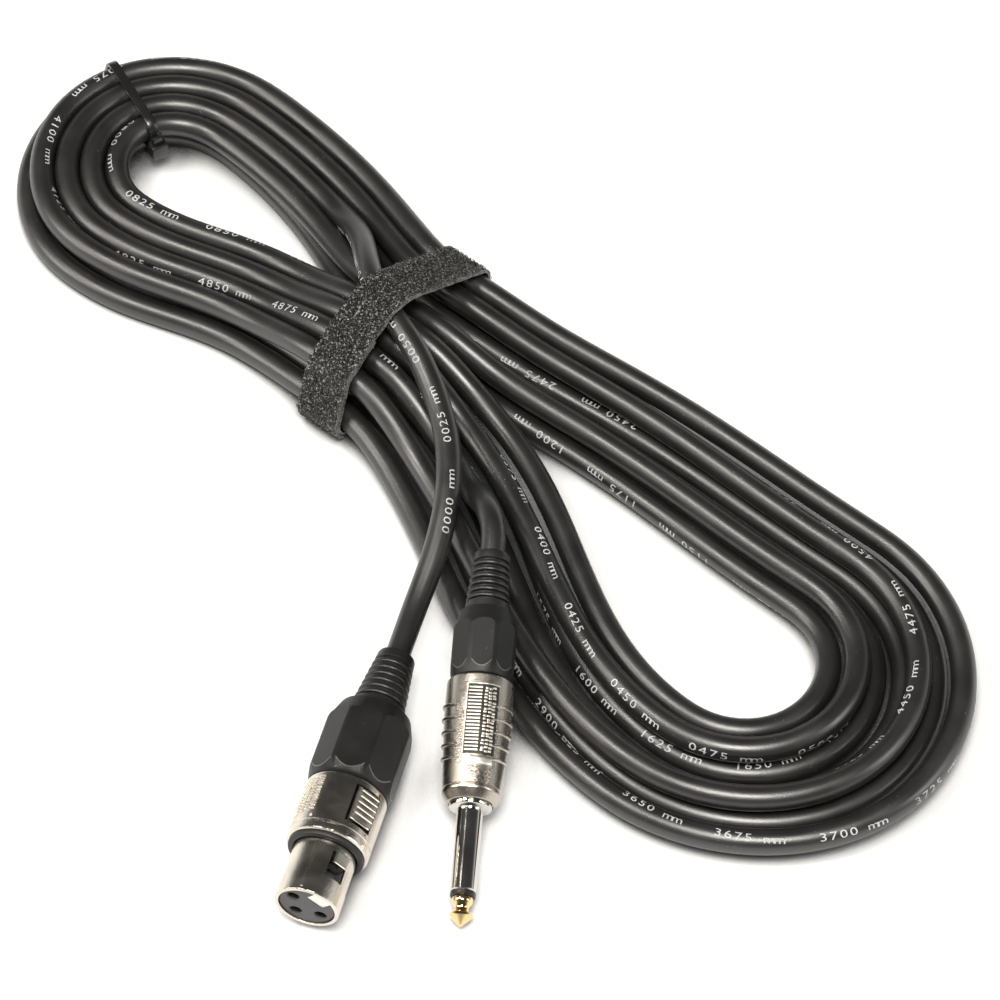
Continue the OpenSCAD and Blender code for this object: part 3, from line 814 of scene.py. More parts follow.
@dataclass
class HankRoute:
    """The middle of the cable from connector to connector, in millimetres."""

    cable_d: float = 6.2
    turn_gap: float = 0.5
    short_reach: float = 84.0
    short_shift: float = 5.5
    short_fold: float = 12.5
    long_reach: float = 131.0
    long_shift: float = -21.0
    long_fold: float = 21.5
    long_stretch: float = 0.15
    fan_bow: float = 7.0
    far_bow: float = 2.2
    near_bow: float = 4.5
    strap_w: float = 13.0
    strap_t: float = 1.6
    tie_t: float = 1.1
    first_turn: float = 0.082
    last_turn: float = 7.54
    columns: int = 4
    first_column: float = 2.25
    climb_half: float = 0.3
    waist_half: float = 0.2
    run_share: float = 0.3
    strap_ease: float = 0.6
    tie_ease: float = 0.4
    lift_spread: float = 20.0
    heap: float = 8.0
    heap_mid: float = -9.0
    heap_half: float = 30.0
    tie_angle: float = 158.0
    socket_route: tuple = ((-33.8, 20.4, 11.6), (-26.7, 16.7, 16.2), (-19.6, 10.2, 21), (-11.6, 2.8, 25),
                           (-4, -2.6, 27), (5, -6.4, 27.4), (15, -10, 26.4), (27, -16, 23.4), (39, -25, 21),
                           (49, -37, 19.2), (56, -50, 15.4))
    plug_route: tuple = ((42, -23.6, 10.4), (49, -27.6, 12.6), (55, -31.2, 17.9), (60.5, -34.8, 22.4))
    socket_jacket: float = 33.5
    plug_jacket: float = 32.0
    step: float = 2.6
    turn_step: float = 0.0025
    start_back: float = 0.01
    end_back: float = 0.007
    socket_stations: tuple = (-16, -8, 0)
    plug_stations: tuple = (-7, 0)
    softening: tuple = (1, 2, 3, 2, 1)
    relaxings: int = 14
    relaxed_run: float = 60.0

    def __post_init__(self) -> None:
        """Work out the sizes that follow from the others."""
        self.cable_r = self.cable_d / 2
        self.pitch = self.cable_d + self.turn_gap
        self.flat_cut = self.cable_d / 10
        self.turn_in = self.columns - self.first_column
        self.turn_out = self.turn_in + self.columns
        self.fold_share = 1 - 2 * self.run_share
        self.strap_lift = self.strap_t + self.strap_ease + self.flat_cut
        share = (self.tie_angle - 90) / 180
        self.tie_lift = (self.tie_t + self.tie_ease + self.flat_cut) / math.sin(math.pi * share) ** 2
        self.tie_turn = (self.run_share + self.fold_share * share) / 2

    def column(self, s: float) -> float:
        """Which column of turns the cable is in: 0 is outermost.

        Args:
            s: turns from the start of the hank.
        Returns:
            The column, with the share of the way to the next.
        """
        if s < self.turn_in:
            return self.first_column + s
        return self.columns - (s - self.turn_in) if s < self.turn_out else s - self.turn_out

    def climbed(self, s: float, at: float) -> float:
        """How much of the climb between the layers is done that is half done at a given turn."""
        return ease(held((s - at + self.climb_half) / (2 * self.climb_half)))

    def layer(self, s: float) -> float:
        """Which layer the cable is in: 0 lies on the table."""
        return 1 - self.climbed(s, self.turn_in) + self.climbed(s, self.turn_out)

    def outward(self, s: float) -> float:
        """How far outside the innermost turn the cable runs.

        The lower layer lies under the gaps of the upper one.

        Args:
            s: turns from the start of the hank.
        Returns:
            The distance.
        """
        u = 2 * (s - math.floor(s)) % 1
        lower = math.ceil(self.turn_in) <= s < math.ceil(self.turn_out)
        nested = self.pitch / 2 * ease(held(min(u, 1 - u) / self.run_share)) if lower else 0.0
        return (self.columns - self.column(s)) * self.pitch + nested

    @staticmethod
    def swell(t: float) -> float:
        """A bow along a run, 1 in its middle."""
        return (4 * t * (1 - t)) ** 3

    @staticmethod
    def early_swell(t: float) -> float:
        """A bow along a run that is strongest nearer the strap, 1 at two fifths of it."""
        return 5 ** 5 / (2 ** 2 * 3 ** 3) * t ** 2 * (1 - t) ** 3

    def run(self, t: float, side: int, reach: float, shift: float, fold: float, out: float) -> np.ndarray:
        """A point on a run between the strap and a fold.

        Args:
            t: 0 at the strap and 1 at the fold.
            side: 1 for the far run, -1 for the near one.
            reach: X of the fold's middle.
            shift: Y of the fold's middle.
            fold: the fold's guide radius.
            out: distance outside the innermost turn.
        Returns:
            X and Y.
        """
        rise = shift + side * fold - side * self.waist_half
        slope = rise * 6 * t * (1 - t) / reach
        n = math.hypot(1, slope)
        return np.array([reach * t - side * slope / n * out,
                         side * self.waist_half + rise * ease(t) + side * out / n])

    @staticmethod
    def bend(angle: float, reach: float, shift: float, fold: float, out: float) -> np.ndarray:
        """A point on a fold.

        Args:
            angle: the direction from the fold's middle, in degrees.
            reach: X of the fold's middle.
            shift: Y of the fold's middle.
            fold: the fold's guide radius.
            out: distance outside the innermost turn.
        Returns:
            X and Y.
        """
        turn, r = math.radians(angle), fold + out
        return np.array([reach + r * math.cos(turn), shift + r * math.sin(turn)])

    def long_half(self, t: float, w: float, out: float) -> tuple[np.ndarray, float]:
        """The half turn with the long fold.

        Args:
            t: share of the way from the strap to the fold, on a run.
            w: share of the way round the fold; below 0 and above 1 it is on a run.
            out: distance outside the innermost turn.
        Returns:
            X and Y, and the lift.
        """
        ends = (self.long_reach, self.long_shift, self.long_fold)
        if w < 0:
            bow = -self.fan_bow * (1 - out / (self.columns * self.pitch)) * self.early_swell(t)
            return self.run(t, -1, *ends, out + bow), 0.0
        stretch = self.long_stretch * out
        if w > 1:
            return self.run(t, 1, *ends, out + self.far_bow * self.swell(t)) + [stretch * ease(t), 0], 0.0
        return self.bend(270 + 180 * w, *ends, out) + [stretch * ease(held(2 * w)), 0], 0.0

    def short_half(self, t: float, w: float, out: float) -> tuple[np.ndarray, float]:
        """The half turn with the short fold, which lies on the tie.

        Args:
            t: share of the way from the strap to the fold, on a run.
            w: share of the way round the fold; below 0 and above 1 it is on a run.
            out: distance outside the innermost turn.
        Returns:
            X and Y, and the lift.
        """
        ends = (-self.short_reach, self.short_shift, self.short_fold)
        if w < 0:
            return self.run(t, 1, *ends, out + self.far_bow * self.swell(t)), 0.0
        if w > 1:
            return self.run(t, -1, *ends, out - self.near_bow * self.swell(t)), 0.0
        return self.bend(90 + 180 * w, *ends, out), self.tie_lift * math.sin(math.pi * w) ** 2

    def turn_at(self, s: float) -> np.ndarray:
        """The middle of the cable after a number of turns.

        Args:
            s: turns from the start of the hank.
        Returns:
            The point.
        """
        u = s - math.floor(s)
        v = 2 * u % 1
        half = self.long_half if u >= 0.5 else self.short_half
        on_run, on_fold = min(v, 1 - v) / self.run_share, (v - self.run_share) / self.fold_share
        xy, lift = half(on_run, on_fold, self.outward(s))
        up = self.layer(s)
        heaped = max(0.0, 1 - ((xy[1] - self.heap_mid) / self.heap_half) ** 2) ** 2
        beyond = max(0.0, abs(xy[0]) - self.strap_w / 2)
        rise = (self.strap_lift + self.heap * up * heaped) * math.exp(-((beyond / self.lift_spread) ** 2))
        return np.array([*xy, self.cable_r - self.flat_cut + up * self.pitch + rise + lift])

    @staticmethod
    def smooth(knots: np.ndarray, steps: int = 24) -> np.ndarray:
        """A smooth curve through points, straight between the first two and the last two.

        Args:
            knots: the points.
            steps: points on each span.
        Returns:
            The curve's points.
        """
        out = [knots[0]]
        for i in range(1, len(knots) - 2):
            a, b, c, d = knots[i - 1:i + 3]
            for k in range(steps):
                t = k / steps
                out.append(0.5 * (2 * b + (c - a) * t + (2 * a - 5 * b + 4 * c - d) * t ** 2
                                  + (3 * b - a - 3 * c + d) * t ** 3))
        return np.array(out + [knots[-2], knots[-1]])

    def lead(self, s: float, towards: float, route: Sequence, seat: Seat,
             stations: Sequence[float]) -> np.ndarray:
        """A free lead from the hank's end to a connector.

        Args:
            s: the hank's end.
            towards: a turn just inside the hank, which gives its direction.
            route: points on the way.
            seat: the connector's place.
            stations: distances along the connector's axis.
        Returns:
            The lead's points.
        """
        end = self.turn_at(s)
        ahead = end - self.turn_at(towards)
        straight = end + self.cable_d * ahead / np.linalg.norm(ahead)
        knots = [end, straight, *map(np.array, route), *(seat.along(z) for z in stations)]
        return self.smooth(np.array(knots, float))

    def line(self) -> np.ndarray:
        """The whole cable, evenly spaced, from the socket connector to the plug.

        Returns:
            The points, in millimetres.
        """
        jacket, plug = self.socket_jacket, self.plug_jacket
        first = self.lead(self.first_turn, self.first_turn + self.start_back, self.socket_route, SOCKET_SEAT,
                          (*self.socket_stations, jacket / 2, jacket))
        last = self.lead(self.last_turn, self.last_turn - self.end_back, self.plug_route, PLUG_SEAT,
                         (*self.plug_stations, plug / 2, plug))
        turns = np.arange(self.first_turn, self.last_turn, self.turn_step)[1:]
        rough = np.concatenate([first[::-1], [self.turn_at(s) for s in turns], last])
        along = distances(rough)
        count = int(round(along[-1] / self.step)) + 1
        soft = sampled(np.linspace(0, along[-1], count), along, rough)
        reach = len(self.softening) // 2
        blend = sum(weight * soft[k:count - 2 * reach + k] for k, weight in enumerate(self.softening))
        soft[reach:-reach] = blend / sum(self.softening)
        off = np.abs(np.arange(1, count - 1) * self.step - distances(first)[-1]) / self.relaxed_run
        share = np.clip(2 - 2 * off, 0, 1)[:, None]
        for _ in range(self.relaxings):
            soft[1:-1] += share * (soft[:-2] - 2 * soft[1:-1] + soft[2:]) / 4
        return soft


@dataclass
class CableJacket:
    """The cable's jacket, one tube from connector to connector."""

    route: HankRoute
    radius: float = 3.25
    end_radius: float = 3.1
    end_run: float = 40.0
    swell: float = 28.0
    exit_at: float = 4.0
    sides: int = 24
    line: np.ndarray = field(init=False)
    across: np.ndarray = field(init=False)
    above: np.ndarray = field(init=False)

    def __post_init__(self) -> None:
        """Lay the line and carry a frame along it."""
        self.line = self.route.line()
        heading = unit(np.gradient(self.line, axis=0))
        self.across = unit(np.cross(heading, [0.0, 0.0, 1.0]))
        self.above = np.cross(self.across, heading)

    def girth(self, i: np.ndarray) -> np.ndarray:
        """The jacket's radius, slimmer where a boot slides over it.

        Args:
            i: ring numbers.
        Returns:
            The radii.
        """
        from_end = np.minimum(i, len(self.line) - 1 - i) * self.route.step
        share = np.clip((from_end - self.end_run) / self.swell, 0, 1)
        return self.end_radius + (self.radius - self.end_radius) * share

    def surface(self, i: np.ndarray, angle: np.ndarray) -> np.ndarray:
        """Points on the jacket.

        Args:
            i: ring numbers.
            angle: angles round the ring, from its right side upwards.
        Returns:
            The points, in millimetres, none below the table.
        """
        round_it = np.cos(angle)[:, None] * self.across[i] + np.sin(angle)[:, None] * self.above[i]
        return on_table(self.line[i] + self.girth(i)[:, None] * round_it)

    def build(self, coats: Coats) -> Object:
        """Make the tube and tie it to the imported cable.

        Args:
            coats: the finishes.
        Returns:
            The tube.
        """
        n, k = len(self.line), self.sides
        rings, turn = np.meshgrid(np.arange(n), 2 * np.pi * np.arange(k) / k, indexing="ij")
        points = self.surface(rings.ravel(), turn.ravel())
        a = np.arange((n - 1) * k)
        b = a - a % k + (a + 1) % k
        faces = np.stack([a, b, b + k, a + k], axis=1).tolist()
        faces += [list(range(k - 1, -1, -1)), list(range((n - 1) * k, n * k))]
        tube = Bench.made("cable_jacket", points, faces)
        uv = tube.obj.data.uv_layers.new(name="along_and_round")
        flat = np.zeros((len(tube.obj.data.loops), 2), np.float32)
        step = self.route.step * MM
        for corner, (du, dv) in enumerate(((0, 0), (0, 1), (1, 1), (1, 0))):
            flat[corner:4 * len(a):4, 0] = (a // k + du) * step
            flat[corner:4 * len(a):4, 1] = (a % k + dv) / k
        uv.data.foreach_set("uv", flat.ravel())
        tube.place(TO_METRES)
        return tube.dress(coats["jacket"], Body.CABLE, "jacket", "cable_hank", "socket_lead", "plug_lead")

    def declare(self) -> None:
        """Work out the cord's length and where it leaves the socket connector; neither is kept.
        """
        length = float(distances(self.line)[-1]) * MM
        tuple(SOCKET_SEAT.along(self.exit_at) * MM)


@dataclass
class JacketPrint:
    """A length scale printed along the jacket, in plain numerals."""

    jacket: CableJacket
    height: float = 2.0
    broad: float = 1.4
    advance: float = 2.45
    every: float = 25.0
    margin: float = 70.0
    lift: float = 0.035
    capital: float = 0.7
    curve_steps: int = 3
    strips: int = 4
    facing: float = 1.5
    swing: float = 2.8
    period: float = 812.0
    on_top: float = 90.0

    def glyph(self, sign: str) -> tuple[np.ndarray, np.ndarray]:
        """Set one sign as flat triangles, cut into strips so that it can bend.

        Args:
            sign: the sign.
        Returns:
            Its corners as X and Y, and its triangles.
        """
        free_hands()
        bpy.ops.object.text_add()
        text = bpy.context.view_layer.objects.active
        text.data.body = sign
        text.data.resolution_u = self.curve_steps
        text.data.align_x = "CENTER"
        bpy.ops.object.convert(target="MESH")
        piece = Bench.fresh("glyph")
        tall = self.height / self.capital
        piece.move_points(piece.points() * [tall * self.broad, tall, 1])
        piece.enter()
        for k in range(1, self.strips):
            bpy.ops.mesh.select_all(action="SELECT")
            bpy.ops.mesh.bisect(plane_co=(0, k * self.height / self.strips, 0), plane_no=(0, 1, 0))
        bpy.ops.mesh.select_all(action="SELECT")
        bpy.ops.mesh.quads_convert_to_tris()
        piece.leave()
        made = piece.points()[:, :2], np.array([list(face.vertices) for face in piece.obj.data.polygons])
        piece.scrap()
        return made

    def bend(self, along: np.ndarray, across: np.ndarray) -> np.ndarray:
        """Lay flat points on the jacket.

        Args:
            along: distance from the cable's start.
            across: distance round the jacket.
        Returns:
            The points, in millimetres.
        """
        jacket = self.jacket
        ring = np.arange(len(jacket.line)) * jacket.route.step
        line, right, up = (sampled(along, ring, part) for part in (jacket.line, jacket.across, jacket.above))
        r = jacket.radius
        swing = self.swing * np.sin(2 * np.pi * (along - self.on_top) / self.period)
        angle = self.facing + swing + across / r
        round_it = np.cos(angle)[:, None] * right + np.sin(angle)[:, None] * up
        return on_table(line + (r + self.lift) * round_it)

    def build(self, coats: Coats) -> Object:
        """Print the scale from end to end.

        Args:
            coats: the finishes.
        Returns:
            The print.
        """
        signs = {sign: self.glyph(sign) for sign in "0123456789m"}
        end = (len(self.jacket.line) - 1) * self.jacket.route.step - self.margin
        points, faces, total = [], [], 0
        for at in np.arange(self.margin, end, self.every):
            word = f"{int(round(at - self.margin)):04d} mm"
            for k, sign in enumerate(word):
                if sign == " ":
                    continue
                flat, triangles = signs[sign]
                points.append(self.bend(at + k * self.advance + flat[:, 0], flat[:, 1] - self.height / 2))
                faces.append(triangles + total)
                total += len(flat)
        ink = Bench.made("jacket_print", np.concatenate(points), np.concatenate(faces).tolist())
        return ink.place(TO_METRES).dress(coats["ink"], Body.CABLE, "jacket")


def half_hull(ordered: Iterable[Pair]) -> list[Pair]:
    """One side of a convex outline.

    Args:
        ordered: the points from one end to the other.
    Returns:
        The side's corners, without its last.
    """
    chain: list = []
    for p in ordered:
        while len(chain) > 1 and ((chain[-1][0] - chain[-2][0]) * (p[1] - chain[-2][1])
                                  - (chain[-1][1] - chain[-2][1]) * (p[0] - chain[-2][0])) <= 0:
            chain.pop()
        chain.append(p)
    return chain[:-1]


def outline(middles: np.ndarray, radius: float, step: float,
            sides: int = 96) -> tuple[np.ndarray, np.ndarray]:
    """A band drawn tight round several round runs.

    Args:
        middles: the runs' middles.
        radius: distance from each middle to the band.
        step: spacing of the outline's points.
        sides: how many sides each run has.
    Returns:
        Evenly spaced points, counter-clockwise, and the outward direction at each.
    """
    angle = np.linspace(0, 2 * np.pi, sides + 1)[:-1]
    round_it = np.stack([np.cos(angle), np.sin(angle)], axis=1) * radius
    ordered = sorted(map(tuple, (middles[:, None, :] + round_it[None]).reshape(-1, 2)))
    loop = np.array(half_hull(ordered) + half_hull(reversed(ordered)))
    loop = np.vstack([loop, loop[:1]])
    along = distances(loop)
    count = int(along[-1] / step)
    even = sampled(np.arange(count) * along[-1] / count, along, loop)
    ahead = unit(np.roll(even, -1, axis=0) - np.roll(even, 1, axis=0))
    return even, np.stack([ahead[:, 1], -ahead[:, 0]], axis=1)


# One loop of the pile: shares of its half span and of its height.
ARCH = ((-1.0, 0.0), (-0.85, 0.75), (0.0, 1.0), (0.85, 0.75), (1.0, 0.0))


@dataclass
class Strap:
    """The hook-and-loop strap round the waist, one strip lapped on the near side."""

    route: HankRoute
    width: float = 13.0
    band: float = 1.0
    bound_turns: tuple = (5, 6, 1.5, 0.5, 7.5, 6.5, 5.5)
    lap: float = 15.0
    lap_rise: float = 1.12
    lap_start: int = 6
    lap_run: int = 7
    facing_up: float = 0.2
    low_end: float = 2.2
    step: float = 1.0
    across: int = 12
    ripples: tuple = ((0.16, 0.55, 0.9), (0.12, 1.7, 2))
    ripple_share: float = 0.12
    curl: float = 0.35
    fray: float = 0.07
    fray_rate: float = 0.9
    side_normal: float = 0.7
    loops: int = 7200
    seed: int = 11
    pile_ends: Pair = (2, 2.01)
    pile_over: float = 0.3
    pile_span: Pair = (0.25, 0.5)
    pile_tall: Pair = (0.25, 0.65)
    pile_lean: float = 0.12
    pile_sunk: float = 0.1
    yarn: float = 0.085
    yarn_sides: int = 3
    yarn_turn: Pair = (0.8, 0.6)

    @staticmethod
    def nearest(off: np.ndarray, allowed: np.ndarray) -> int:
        """The number of the allowed point that is least far off."""
        return int(np.argmin(np.where(allowed, np.abs(off), np.inf)))

    def strip(self) -> tuple[np.ndarray, np.ndarray]:
        """The strip's inner line and outward directions, in Y and Z.

        Returns:
            Points, and the outward direction at each.
        """
        route = self.route
        knots = np.array(route.socket_route, float)
        edge = self.width * route.run_share / (4 * route.short_reach)
        middles = [route.turn_at(s + k * edge)[1:] for k in (-1, 0, 1) for s in self.bound_turns]
        middles += [*sampled(np.array([-self.width / 2, 0, self.width / 2]), knots[:, 0], knots[:, 1:])]
        loop, out = outline(np.array(middles), route.cable_r + route.strap_ease, self.step)
        start = self.nearest(loop[:, 0] - (loop[:, 0].min() + self.lap), out[:, 1] > self.facing_up)
        n = len(loop)
        count = n + (self.nearest(loop[:, 1] - self.low_end, out[:, 0] < 0) - start) % n + 1
        index = (start + np.arange(count)) % n
        rise = np.array([self.band * self.lap_rise * ease(held((k - n + self.lap_start) / self.lap_run))
                         for k in range(count)])
        return loop[index] + out[index] * rise[:, None], out[index]

    def build(self, coats: Coats) -> list[Object]:
        """Make the woven band and its pile.

        Args:
            coats: the finishes.
        Returns:
            The band and the pile.
        """
        line, out = self.strip()
        n = len(line)
        wire = np.column_stack([np.full(n, -self.width / 2), line])
        band = Bench.made("strap_band", wire, [], [(i, i + 1) for i in range(n - 1)])
        band.enter()
        for _ in range(self.across):
            bpy.ops.mesh.extrude_edges_move(
                TRANSFORM_OT_translate={"value": (self.width / self.across, 0, 0)})
        band.leave()
        p = band.points()
        order = np.argsort(((p[:, None, 1:] - line[None]) ** 2).sum(2), axis=1)[:, 0]
        share = 2 * p[:, 0] / self.width
        wave = sum(tall * np.sin(order * rate + lean * share) for tall, rate, lean in self.ripples)
        curl = self.curl * np.abs(share) ** 4
        p[:, 0] += self.fray * share ** 3 * np.sin(order * self.fray_rate)
        p[:, 1:] += out[order] * (curl + self.ripple_share * wave)[:, None]
        band.move_points(p)
        band.enter()
        band.face_outwards()
        self.turn_over(band, line, out)
        band.modify("SOLIDIFY", thickness=self.band, offset=1.0)
        sheet = band.place(TO_METRES).dress(coats["strap"], Body.CABLE, "strap", "strap")
        sheet.data.materials.append(coats["selvedge"])
        # The side faces take the selvedge colour, partly lightened as a painted highlight.
        for face in sheet.data.polygons:
            face.material_index = int(abs(face.normal.x) > self.side_normal)
        pile = self.pile(line, out).place(TO_METRES).dress(coats["strap"], Body.CABLE, "strap")
        return [sheet, pile]

    @staticmethod
    def turn_over(band: Bench, line: np.ndarray, out: np.ndarray) -> None:
        """Flip the band's faces where they point inwards.

        Args:
            band: the open strip.
            line: its line.
            out: its outward directions.
        """
        face = band.obj.data.polygons[len(band.obj.data.polygons) // 2]
        middle = np.array(face.center)[1:]
        near = int(np.argmin(((line - middle) ** 2).sum(1)))
        if float(np.dot(np.array(face.normal)[1:], out[near])) < 0:
            band.enter()
            bpy.ops.mesh.flip_normals()
            band.leave()

    def pile(self, line: np.ndarray, out: np.ndarray) -> Bench:
        """Small standing loops all over the outer face.

        Args:
            line: the strip's line.
            out: its outward directions.
        Returns:
            The loops as one piece.
        """
        chance = np.random.default_rng(self.seed)
        n, k = self.loops, self.yarn_sides
        at = chance.uniform(self.pile_ends[0], len(line) - self.pile_ends[1], n)
        x = chance.uniform(-0.5, 0.5, n) * (self.width + self.pile_over)
        i = at.astype(int)
        f = (at - i)[:, None]
        up = np.column_stack([np.zeros(n), out[i]])
        turn = chance.uniform(0, 2 * np.pi, n)
        ahead = np.column_stack([np.zeros(n), -out[i][:, 1], out[i][:, 0]])
        side = np.cos(turn)[:, None] * np.array([[1.0, 0, 0]]) + np.sin(turn)[:, None] * ahead
        span = chance.uniform(*self.pile_span, n)[:, None]
        tall = chance.uniform(*self.pile_tall, n)[:, None]
        lean = chance.normal(0, self.pile_lean, (n, 3))
        foot = np.column_stack([x, line[i] * (1 - f) + line[i + 1] * f]) + up * (self.band - self.pile_sunk)
        thin = np.cross(side, up)
        points = []
        for a, h in ARCH:
            middle = foot + side * span * a + up * tall * h + lean * h
            outward = side * a * self.yarn_turn[0] + up * (1 - abs(a) * self.yarn_turn[1])
            for angle in (2 * math.pi * corner / k for corner in range(k)):
                points.append(middle + self.yarn * (math.cos(angle) * thin + math.sin(angle) * outward))
        per = len(points)
        faces = [(a, b, b + k, a + k) for start in range(0, per - k, k)
                 for a, b in ((start + c, start + (c + 1) % k) for c in range(k))]
        base = np.arange(n)[:, None] * per
        quads = np.concatenate([base + np.array(face)[None] for face in faces])
        ends = np.concatenate([base + np.arange(k)[::-1], base + np.arange(per - k, per)])
        stacked = on_table(np.stack(points, axis=1).reshape(-1, 3))
        return Bench.made("strap_loops", stacked, quads.tolist() + ends.tolist())


@dataclass
class CableTie:
    """The nylon tie round the short fold."""

    route: HankRoute
    width: float = 2.6
    thick: float = 1.1
    head: float = 4.8
    turns: int = 8
    step: float = 0.7
    band_round: float = 0.28
    head_round: float = 0.55
    tail_round: float = 0.25
    slot: Pair = (0.78, 0.36)
    slot_deep: float = 0.7
    slot_ease: float = 0.25

    def build(self, coats: Coats) -> Object:
        """Make the band, its head and its tail.

        Args:
            coats: the finishes.
        Returns:
            The tie.
        """
        route = self.route
        runs = np.array([(route.short_fold + route.outward(k + route.tie_turn),
                          route.turn_at(k + route.tie_turn)[2]) for k in range(self.turns)])
        edge = route.cable_r + route.tie_ease
        loop, _ = outline(runs, edge, self.step)
        n = len(loop)
        wire = np.column_stack([loop, np.full(n, -self.width / 2)])
        band = Bench.made("tie_band", wire, [], [(i, (i + 1) % n) for i in range(n)])
        band.enter()
        bpy.ops.mesh.extrude_edges_move(TRANSFORM_OT_translate={"value": (0, 0, self.width)})
        band.face_outwards()
        band.modify("SOLIDIFY", thickness=self.thick, offset=1.0).soften(self.band_round)
        inner = float(runs[:, 0].min()) - edge
        middle = float(runs[:, 1].min() + runs[:, 1].max()) / 2
        half, h, thick, wide = self.head / 2, self.head, self.thick, self.width / 2
        box = Bench.cube("tie_head", (inner - h + thick / 2, middle - half, -half),
                         (inner - thick / 2, middle + half, half), self.head_round)
        slot = Bench.cube("tie_slot", (inner - h * self.slot[0], middle + half - self.slot_deep,
                                       -wide - self.slot_ease),
                          (inner - h * self.slot[1], middle + half + 1, wide + self.slot_ease))
        box.work(Cut.AWAY, slot)
        tail = Bench.cube("tie_tail", (inner - half - thick / 2, middle, -wide),
                          (inner - half + thick / 2, middle + half + 2 * thick, wide), self.tail_round)
        turn = Matrix.Rotation(math.radians(route.tie_angle), 4, "Z") @ Matrix.Rotation(math.pi / 2, 4, "X")
        frame = Matrix.Translation((-route.short_reach * MM, route.short_shift * MM, 0)) @ turn @ TO_METRES
        band.add(box, tail).place(frame)
        return band.dress(coats["nylon"], Body.CABLE, "nylon", "cable_tie")


# A boot's rib: drop below its outer radius, and share of the pitch.
RIB = ((0.3, 0.4), (0.08, 0.5), (0.0, 0.62), (0.0, 0.8), (0.12, 0.92), (0.35, 0.98))
# The floors of the grooves before a rib and before the collar: shares of the pitch.
RIB_GROOVE = (0.08, 0.34)
COLLAR_GROOVE = (0.02, 0.2)
# A turn of thread: share of its depth, and share of the pitch.
THREAD = ((0, 0.0), (1, 0.38), (1, 0.5), (0, 0.88))


